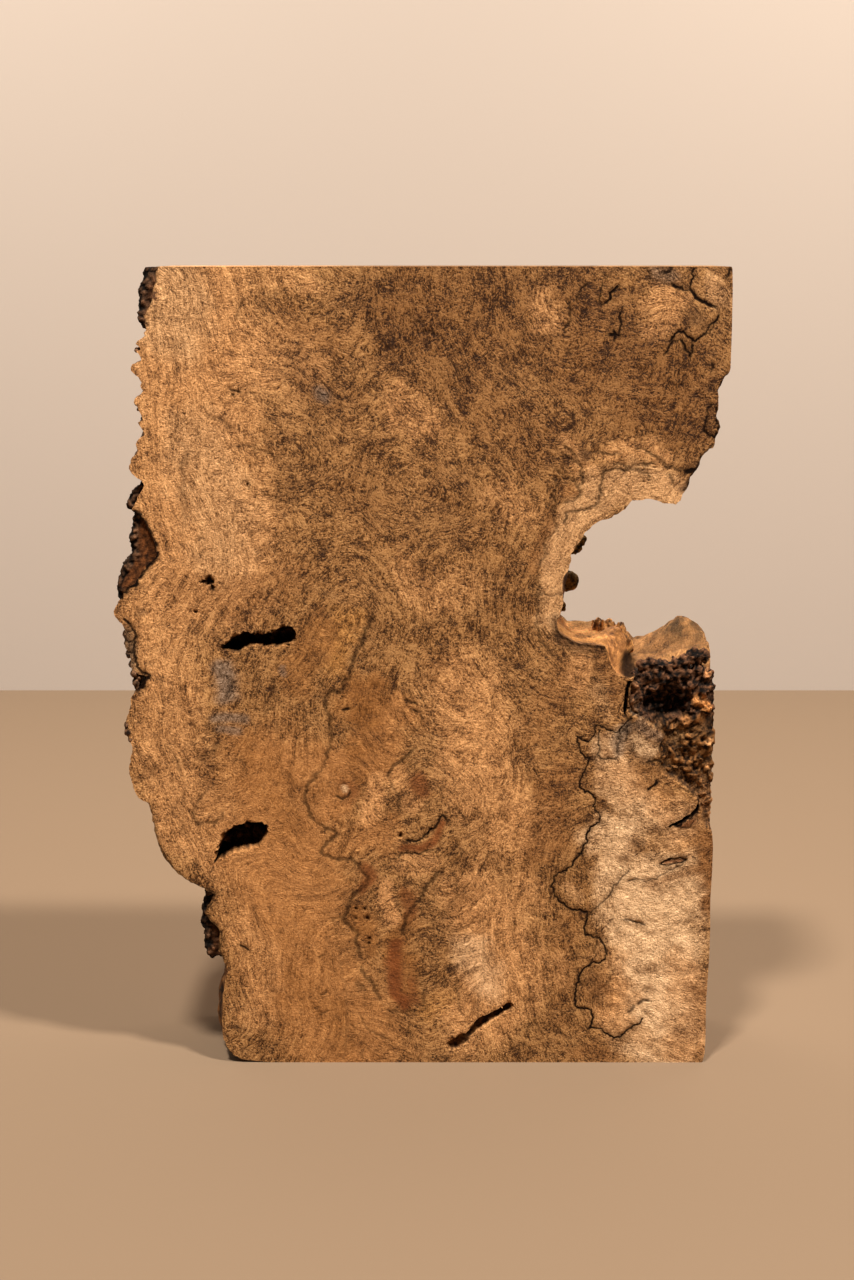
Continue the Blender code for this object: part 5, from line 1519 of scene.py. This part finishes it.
def warped_place(tree, place, scale, reach):
    """Return object coordinates bent by a slow noise."""
    inputs = {"Vector": place, "Scale": scale, "Detail": 2.0, "Roughness": 0.5}
    slow = add_node(tree, "ShaderNodeTexNoise", inputs)
    shift = vector_node(tree, "SUBTRACT", {0: slow.outputs["Color"], 1: (0.5, 0.5, 0.5)})
    return vector_node(tree, "ADD", {0: place, 1: vector_node(tree, "SCALE", {0: shift, "Scale": reach})})


def ridge(tree, value, width):
    """Return thin lines where a noise crosses its middle, 1 on the line and 0 away from it."""
    away = math_node(tree, "ABSOLUTE", math_node(tree, "SUBTRACT", value, 0.5))
    return math_node(tree, "SUBTRACT", 1.0, math_node(tree, "DIVIDE", away, width), 0.0, clamp=True)


def span(tree, value, low, high):
    """Return how far a value lies from low to high, between 0 and 1."""
    inputs = {"Value": value, "From Min": low, "From Max": high}
    return add_node(tree, "ShaderNodeMapRange", inputs, clamp=True).outputs[0]


def along_rings(tree, rings, apart, across, along):
    """Return coordinates stretched along the growth rings."""
    inputs = {
        0: times(tree, rings, across),
        1: times(tree, apart.outputs["X"], along),
        2: times(tree, apart.outputs["Z"], along),
    }
    return add_node(tree, "ShaderNodeCombineXYZ", inputs).outputs[0]


def connect_surface(tree, shader, colour, height, strength, distance, roughness):
    """Join a colour, a relief and a roughness to a shader."""
    bump = add_node(tree, "ShaderNodeBump", {"Strength": strength, "Distance": distance, "Height": height})
    tree.links.new(colour, shader.inputs["Base Color"])
    tree.links.new(bump.outputs[0], shader.inputs["Normal"])
    tree.links.new(roughness, shader.inputs["Roughness"])


def wood_material():
    """Spalted maple: broad tones from the points, burl figure, grain along the rings, and dark lines with the
    painted shade of hollows.
    """
    material, tree, shader = new_material("spalted_maple", 0.7, 0.14)
    place = add_node(tree, "ShaderNodeTexCoord").outputs["Object"]
    bent = warped_place(tree, place, 120.0, 0.007)
    apart = add_node(tree, "ShaderNodeSeparateXYZ", {0: bent})
    rings, figure, punk, ink_and_shade = [attribute(tree, name, "Fac") for name in ("rings", "figure", "punk", "ink_and_shade")]
    bands = noise_node(tree, along_rings(tree, rings, apart, 0.46, 46.0), 1.0, 4.0, 0.62, 0.4)
    streaks = noise_node(tree, along_rings(tree, rings, apart, 1.9, 330.0), 1.0, 2.0, 0.6, 0.4)
    cloud = noise_node(tree, bent, 72.0, 4.0, 0.6, 0.3)
    blotch = noise_node(tree, bent, 260.0, 3.0, 0.66, 0.4)
    grains = noise_node(tree, bent, 1150.0, 3.0, 0.72, 0.3)
    worms = ridge(tree, noise_node(tree, bent, 400.0, 2.0, 0.55, 0.6), 0.03)
    worms = times(tree, worms, span(tree, noise_node(tree, place, 210.0, 2.0, 0.6), 0.52, 0.62))
    specks = span(tree, noise_node(tree, place, 1000.0, 2.0, 0.6, 0.2), 0.57, 0.66)

    tone = plus(tree, scaled(tree, cloud, 1.2, -0.6), scaled(tree, blotch, 1.3, -0.65))
    tone = times(tree, tone, figure)
    band_tone = times(tree, scaled(tree, bands, 1.5, -0.75), scaled(tree, punk, -0.7, 1.0))
    band_share = math_node(tree, "MULTIPLY_ADD", figure, 0.6, 0.4, clamp=True)
    small = scaled(tree, figure, 0.85, 0.12)
    grain_tone = times(tree, scaled(tree, grains, 2.8, -1.4), small)
    parts = [
        times(tree, band_tone, band_share),
        times(tree, grain_tone, scaled(tree, punk, -0.35, 1.0)),
        times(tree, scaled(tree, streaks, 1.2, -0.6), small),
        times(tree, times(tree, worms, -0.5), figure),
        times(tree, times(tree, specks, -0.42), figure),
        0.57,
    ]
    for part in parts:
        tone = plus(tree, tone, part)
    shade = ramp(tree, tone, WOOD_SHADES)
    colour = mix_colour(tree, "MULTIPLY", 1.0, attribute(tree, "tint", "Color"), shade)

    middle = times(tree, ink_and_shade, math_node(tree, "SUBTRACT", 1.0, ink_and_shade))
    frayed = times(tree, scaled(tree, grains, 1.3, -0.65), times(tree, middle, 1.5))
    ink_and_shade_full = math_node(tree, "ADD", ink_and_shade, frayed, clamp=True)
    dark = mix_colour(tree, "MIX", span(tree, ink_and_shade_full, 0.1, 0.5), FAINT_INK_AND_SHADE, FULL_INK_AND_SHADE)
    colour = mix_colour(tree, "MIX", ink_and_shade_full, colour, dark)

    torn = noise_node(tree, place, 420.0, 3.0, 0.62, 0.9)
    height = plus(tree, times(tree, grains, 0.8), times(tree, streaks, 0.5))
    height = plus(tree, height, times(tree, blotch, 0.5))
    height = plus(tree, height, times(tree, times(tree, torn, punk), 1.3))
    height = plus(tree, height, times(tree, worms, -0.4))
    connect_surface(tree, shader, colour, height, 0.85, 0.0014, scaled(tree, grains, -0.25, 0.76))
    tree.links.new(scaled(tree, ink_and_shade, -0.13, 0.14), shader.inputs["Specular IOR Level"])
    return material


def dress(piece, material):
    """Give a piece its material and its place on the frame."""
    piece.data.materials.append(material)
    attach(piece, "root")
    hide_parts(NODE)
    return piece


def lump_mesh(lumps, divisions=2):
    """Return a mesh in millimetres with a ball for each centre and set of radii."""
    mesh = bmesh.new()
    for centre, radii in lumps:
        matrix = Matrix.Translation(Vector(centre)) @ Matrix.Diagonal((*radii, 1.0))
        bmesh.ops.create_icosphere(mesh, subdivisions=divisions, radius=1.0, matrix=matrix)
    return mesh


def add_loft(mesh, rings):
    """Add a closed stack of equal rings to a mesh."""
    rows = [[mesh.verts.new(tuple(point)) for point in ring] for ring in rings]
    count = len(rows[0])
    faces = [mesh.faces.new(rows[0]), mesh.faces.new(rows[-1])]
    for near, far in zip(rows, rows[1:]):
        for here in range(count):
            after = (here + 1) % count
            faces.append(mesh.faces.new((near[here], near[after], far[after], far[here])))
    bmesh.ops.recalc_face_normals(mesh, faces=faces)


def fuse(name, mesh, voxel):
    """Join the overlapping shapes of a mesh into one skin, and return its points, normals and faces."""
    data = bpy.data.meshes.new(name)
    mesh.to_mesh(data)
    mesh.free()
    rough_piece = new_item(name, data)
    skin = rough_piece.modifiers.new("skin", "REMESH")
    skin.mode = "VOXEL"
    skin.voxel_size = voxel
    evaluated = rough_piece.evaluated_get(bpy.context.evaluated_depsgraph_get())
    result = bpy.data.meshes.new_from_object(evaluated)
    points = np.empty(len(result.vertices) * 3)
    normals = np.empty(len(result.vertices) * 3)
    result.vertices.foreach_get("co", points)
    result.vertices.foreach_get("normal", normals)
    faces = [tuple(polygon.vertices) for polygon in result.polygons]
    bpy.data.objects.remove(rough_piece, do_unlink=True)
    bpy.data.meshes.remove(data)
    bpy.data.meshes.remove(result)
    return points.reshape(-1, 3), normals.reshape(-1, 3), faces


def push_out(points, normals, amount):
    """Move points along their normals."""
    return points + normals * amount[:, None]


def finish_bark(name, points, faces, tint, material):
    """Make a bark piece and fit it to the board."""
    piece = make_object(name, points, faces, 70.0)
    store_tint(piece, tint)
    return dress(piece, material)


def bark_rings(outline, near, far):
    """Return the cross sections of a bark scrap that drifts and narrows towards its back."""
    centre = np.mean(outline, axis=0)
    rings = []
    for share, scale in BARK_PROFILE:
        y = FRONT + near + (far - near) * share
        ring = []
        for x, z in outline:
            shift_x, shift_z = drift(x, y, z, RIDGE_LENGTH)
            new_x = centre[0] + (x - centre[0]) * scale + shift_x * BARK_DRIFT * share
            new_z = centre[1] + (z - centre[1]) * scale + shift_z * BARK_DRIFT * share
            ring.append((new_x, y, min(new_z, HEIGHT - BARK_STEP)))
        rings.append(ring)
    return rings


def make_scrap(name, outline, near, far, sawn_share, material):
    """Make one scrap of bark, lumpy outside and smooth only where it was sawn."""
    mesh = bmesh.new()
    add_loft(mesh, bark_rings(outline, near, far))
    points, normals, faces = fuse(name, mesh, BARK_VOXEL)
    x, y, z = points.T
    outer_line = outline[: len(outline) * 2 // 3]
    inward = line_distance(x, z, outer_line) + 2.2 * rough(x, 0.0, z, 5.0, 2, 2)
    sawn = sawn_share * smooth_step(inward, 2.6, 5.2) * (1.0 - smooth_step(y - FRONT - near, 0.8, 2.4))
    lumps = rough(x, y * 0.8, z * 1.3, 4.0, 2, 3)
    crease = 1.0 - 2.4 * np.abs(rough(x, y, z, 4.6, 5, 2))
    relief = 0.75 * lumps + 0.3 * rough(x, y, z, 1.6, 4, 2) - 0.6 * np.clip(crease, 0.0, 1.0)
    rim = line_distance(x, z, list(outline) + [outline[0]])
    inner = smooth_step(rim, 0.4, 1.5)
    points = push_out(points, normals, 1.1 * relief * (1.0 - 0.93 * sawn))
    points[:, 2] = np.minimum(points[:, 2], HEIGHT - 0.2)
    points[:, 1] = np.maximum(points[:, 1], FRONT + 0.1)
    # Painted lighter on the lumps and darker in the creases: partly the bark's own tone, partly painted
    # highlight and painted shade.
    tint = shade_between((14, 9, 6), (140, 100, 72), 0.26 + 0.8 * relief)
    cells = rough(x, 0.0, z, 2.0, 4, 3)
    face = shade_between((46, 25, 12), (118, 70, 36), 0.44 + 0.7 * cells)
    tint = blend(tint, face, sawn * inner)
    # Darker towards the outline: painted shade at the scrap's edges, where it meets the wood.
    tint *= (0.25 + 0.75 * smooth_step(rim, 0.2, 1.2))[:, None]
    return finish_bark(name, points, faces, tint, material)


def make_crumbs(material):
    """Make the dark crumbs of bark that cling to the live edge."""
    draw = np.random.default_rng(CRUMB_SEED)
    lumps = []
    for x, depth, z, radius in EDGE_CRUMBS:
        lumps.append(((x, FRONT + depth, z), (radius, radius * 1.9, radius * 1.1)))
        for _ in range(CRUMB_BITS):
            turn = draw.uniform(-1.0, 1.0, 3) * radius * (0.8, 2.4, 1.0)
            small = radius * draw.uniform(0.35, 0.6)
            centre = (x + turn[0], FRONT + depth + 1.0 + abs(turn[1]), z + turn[2])
            lumps.append((centre, (small, small * 1.6, small)))
    points, normals, faces = fuse("edge_crumbs", lump_mesh(lumps), CRUMB_VOXEL)
    x, y, z = points.T
    grain = rough(x, y, z, 1.8, 3, 2)
    points = push_out(points, normals, 0.35 * grain)
    tint = shade_between((14, 9, 6), (128, 92, 66), 0.3 + 0.7 * grain)
    return finish_bark("edge_crumbs", points, faces, tint, material)


def random_way(draw):
    """Return a random unit direction."""
    away = draw.normal(size=3)
    return away / np.linalg.norm(away)


def nodule_lumps():
    """List the burl bark's nodules with the small knobs that break them up."""
    plain = random.Random(NODULE_SEED)
    draw = np.random.default_rng(KNOB_SEED)
    places = list(NODULES)
    low_x, high_x, low_z, high_z = LOWER_NODULE_BOX
    for _ in range(LOWER_NODULES):
        radius = plain.uniform(*LOWER_NODULE_RADII)
        places.append((plain.uniform(low_x, high_x), plain.uniform(low_z, high_z), radius))
    lumps = []
    for x, z, radius in places:
        y = FRONT + float(open_patch_depth(x, z)) + NODULE_SINK * radius
        lumps.append(((x, y, z), (radius * 0.86, radius * NODULE_LENGTH, radius * 0.86)))
        for _ in range(SMALL_NODULES):
            away = random_way(draw)
            away[1] = -abs(away[1]) if draw.random() < 0.8 else away[1]
            small = radius * draw.uniform(0.22, 0.42)
            centre = np.array([x, y, z]) + away * radius * (0.85, 1.0, 0.85)
            lumps.append((tuple(centre), (small, small * 1.3, small)))
    count = 0
    while count < LOOSE_NODULES:
        x, z = draw.uniform(103.0, 146.0), draw.uniform(124.0, 205.0)
        radius = draw.uniform(0.8, 2.3)
        if inside_outline(np.array([x]), np.array([z]), BARK_PATCH)[0]:
            y = FRONT + float(open_patch_depth(x, z)) + 0.5 * radius
            tall = radius * draw.uniform(0.7, 1.5)
            lumps.append(((x, y, z), (radius, radius * 1.4, tall)))
            count += 1
    return lumps


def open_patch_depth(x, z):
    """Depth of the burl's own surface, without the patch's edge."""
    return PATCH_DEPTH + PATCH_SLOPE_X * max(x - PATCH_LEFT, 0.0) + PATCH_SLOPE_Z * max(z - PATCH_RISE, 0.0)


def burl_colours(x, y, z, grain, hollow):
    """Colour the burl bark: black above, brown below, with pale worn knobs and painted shade in the crater.
    """
    black = smooth_step(z + 3.0 * rough(x, 0.0, z, 9.0, 4), 176.0, 184.0)
    tint = shade_between((30, 18, 9), (128, 85, 46), 0.36 + 0.8 * grain)
    tint = blend(tint, shade_between((12, 7, 5), (120, 80, 54), 0.2 + 0.75 * grain), black)
    lower = 1.0 - smooth_step(z, 138.0, 156.0)
    streak = shade_between((56, 35, 20), (164, 114, 70), 0.44 + 0.8 * grain)
    tint = blend(tint, streak, lower * 0.85)
    for centre_x, centre_z, radius, colour in BURL_SPOTS:
        near = 1.0 - smooth_step(np.hypot(x - centre_x, z - centre_z) / radius, 0.4, 1.1)
        tint = blend(tint, linear(colour), near * (0.6 + 0.6 * grain).clip(0.0, 1.0))
    # Darker inside the crater: painted shade in the hollow.
    tint *= (1.0 - 0.82 * hollow * np.clip(1.0 - 0.5 * grain, 0.0, 1.0))[:, None]
    return tint


def make_burl_bark(material):
    """Make the knobbly burl bark with its crater."""
    mesh = lump_mesh(nodule_lumps())
    ring = resample(plate_outline(), 90)[:-1]
    rings = []
    for extra in (0.4, BURL_BACKING):
        rings.append([(x, FRONT + open_patch_depth(x, z) + extra, z) for x, z in ring])
    add_loft(mesh, rings)
    points, normals, faces = fuse("burl_bark", mesh, BURL_VOXEL)
    x, y, z = points.T
    crease = 1.0 - 2.2 * np.abs(rough(x, y, z, 4.4, 2, 2))
    coarse = rough(x, y, z, 2.6, 5, 3)
    fine = rough(x, y, z, 1.3, 4, 2)
    relief = 0.55 * coarse + 0.3 * fine - 0.5 * np.clip(crease, 0.0, 1.0)
    points = push_out(points, normals, 1.15 * relief)
    hollow = crater_share(x, z)
    in_front = smooth_step(FRONT + PATCH_DEPTH + 6.5 - y, -2.0, 2.0)
    points[:, 1] += 0.85 * CRATER[4] * hollow * in_front
    points[:, 0] = np.minimum(points[:, 0], SAWN_X)
    # Painted lighter where the bark stands out and darker in its creases: partly its own colour, partly
    # painted highlight and painted shade.
    tint = burl_colours(x, y, z, 1.5 * relief + 0.25, hollow)
    return finish_bark("burl_bark", points, faces, tint, material)


def plate_outline():
    """Return the closed outline of the burl bark's backing, inside the board."""
    outline = [point for point in BARK_PATCH if point[0] < 147.5 and point[1] < 183.0]
    return BURL_PLATE + outline + BURL_PLATE[:1]


def make_crests(material):
    """Make the torn splinters of wood that stand on the ledge."""
    mesh = bmesh.new()
    draw = np.random.default_rng(CREST_SEED)
    for x, y, tip, base, drop in CRESTS:
        radius = CREST_SPREAD * base
        add_splinter(mesh, x, y, tip - 0.8, radius, drop)
        for _ in range(CREST_SPLINTERS):
            lean = draw.uniform(-1.0, 1.0, 2) * radius * (0.9, 1.3)
            fall = draw.uniform(0.5, 3.0)
            wide = radius * draw.uniform(0.35, 0.6)
            add_splinter(mesh, x + lean[0], y + lean[1], tip - fall, wide, drop - fall)
    points, normals, faces = fuse("torn_crests", mesh, CREST_VOXEL)
    x, y, z = points.T
    fibre = rough(x, y, z * 0.35, 1.5, 3, 2)
    points = push_out(points, normals, 0.5 * fibre)
    tone = 0.5 + 0.7 * rough(x, y, z * 0.4, 2.6, 1, 2) + 0.4 * fibre
    dark_streaks_and_recess_shade = smooth_step(rough(x, y * 0.6, z * 0.25, 3.4, 0, 2), 0.1, 0.4)
    tint = blend(shade_between((80, 46, 22), (226, 158, 90), tone), linear((60, 36, 22)), 0.85 * dark_streaks_and_recess_shade)
    piece = make_object("torn_crests", points, faces, 70.0)
    paint(piece, x, y, z, tint, np.full(len(x), 0.5), np.zeros(len(x)))
    return dress(piece, material)


def add_splinter(mesh, x, y, tip, radius, drop):
    """Add one tapering splinter of wood."""
    rings = []
    for share, scale in SPLINTER_PROFILE:
        ring = []
        for corner in range(SPLINTER_SIDES):
            turn = math.tau * corner / SPLINTER_SIDES
            uneven = 1.0 + 0.3 * noise.noise(Vector((x + corner * 0.9, y, tip * share)))
            reach = radius * scale * uneven
            place = (x + reach * math.cos(turn), y + 1.5 * reach * math.sin(turn), tip - drop * (1.0 - share))
            ring.append(place)
        rings.append(ring)
    add_loft(mesh, rings)


def make_wall_bits(material):
    """Make the lichen-covered bits that stand on the notch wall."""
    draw = np.random.default_rng(WALL_SEED)
    lumps = []
    for centre, radii in WALL_BITS:
        lumps.append((centre, tuple(radius * 0.9 for radius in radii)))
        for _ in range(WALL_LUMPS):
            away = random_way(draw)
            small = draw.uniform(0.6, 1.3)
            place = np.array(centre) + away * np.array(radii) * 0.78
            lumps.append((tuple(place), (small, small * 1.2, small)))
    points, normals, faces = fuse("wall_bits", lump_mesh(lumps, 3), WALL_VOXEL)
    x, y, z = points.T
    grain = rough(x, y, z, 2.6, 2, 3)
    points = push_out(points, normals, 0.35 * grain)
    tint = shade_between((34, 24, 12), (146, 112, 62), 0.4 + 0.7 * grain)
    return finish_bark("wall_bits", points, faces, tint, material)


def bark_material():
    """Rough bark: tones from the points, with fine flecks and deep relief."""
    material, tree, shader = new_material("maple_bark", 0.9, 0.12)
    place = add_node(tree, "ShaderNodeTexCoord").outputs["Object"]
    bent = warped_place(tree, place, 160.0, 0.006)
    grit = noise_node(tree, bent, 620.0, 4.0, 0.68, 0.6)
    dust = noise_node(tree, bent, 1500.0, 2.0, 0.6)
    tone = plus(tree, scaled(tree, grit, 1.6, -0.3), times(tree, dust, 0.2))
    shade = ramp(tree, tone, BARK_SHADES)
    colour = mix_colour(tree, "MULTIPLY", 1.0, attribute(tree, "tint", "Color"), shade)
    height = plus(tree, grit, times(tree, dust, 0.4))
    connect_surface(tree, shader, colour, height, 0.7, 0.001, scaled(tree, grit, -0.3, 1.0))
    return material


def plain_material(name, colour, roughness):
    """Return a plain material for the stage."""
    material, _, shader = new_material(name, roughness, 0.2)
    shader.inputs["Base Color"].default_value = (*linear(colour), 1.0)
    return material


def make_stage():
    """Make the plain pale floor and the wall behind."""
    for name, (colour, points) in STAGE.items():
        mesh = bpy.data.meshes.new(name)
        mesh.from_pydata(points, [], [(0, 1, 2, 3)])
        mesh.materials.append(plain_material(name, colour, 0.8))
        sheet = new_item(name, mesh)


def add_lamp(name, place, target, size, power):
    """Add a soft square lamp that points at a target."""
    lamp = bpy.data.lights.new(name, "AREA")
    lamp.size = size
    lamp.energy = power
    lamp.color = LAMP_COLOUR
    item = new_item(name, lamp)
    item.location = place
    item.visible_camera = False
    item.rotation_euler = (Vector(target) - Vector(place)).to_track_quat("-Z", "Y").to_euler()


def make_lights():
    """Light the board from two lamps high in front, with small ones for the wall and the ledge."""
    for lamp in LAMPS:
        add_lamp(*lamp)
    world = bpy.data.worlds.new("soft_room")
    world.use_nodes = True
    background = world.node_tree.nodes["Background"]
    background.inputs["Color"].default_value = ROOM_COLOUR
    background.inputs["Strength"].default_value = ROOM_LIGHT
    bpy.context.scene.world = world


def make_camera():
    """Place the camera as the photograph's was."""
    lens = bpy.data.cameras.new("camera")
    lens.lens = LENS_LENGTH
    lens.sensor_width = SENSOR_WIDTH
    item = new_item("camera", lens)
    item.location = CAMERA_PLACE
    item.rotation_euler = (math.radians(90.0 - CAMERA_TILT), 0.0, 0.0)
    bpy.context.scene.camera = item


make_camera()
make_stage()
make_lights()
bpy.context.scene.view_settings.view_transform = "Standard"
wood = wood_material()
board_points, board_faces = build_board()
board = make_object("board_wood", board_points, board_faces)
colour_board(board, board_points)
dress(board, wood)
bark = bark_material()
for scrap_name, scrap in BARK_SCRAPS.items():
    make_scrap(scrap_name, *scrap, bark)
make_crumbs(bark)
make_burl_bark(bark)
make_wall_bits(bark)
make_crests(wood)
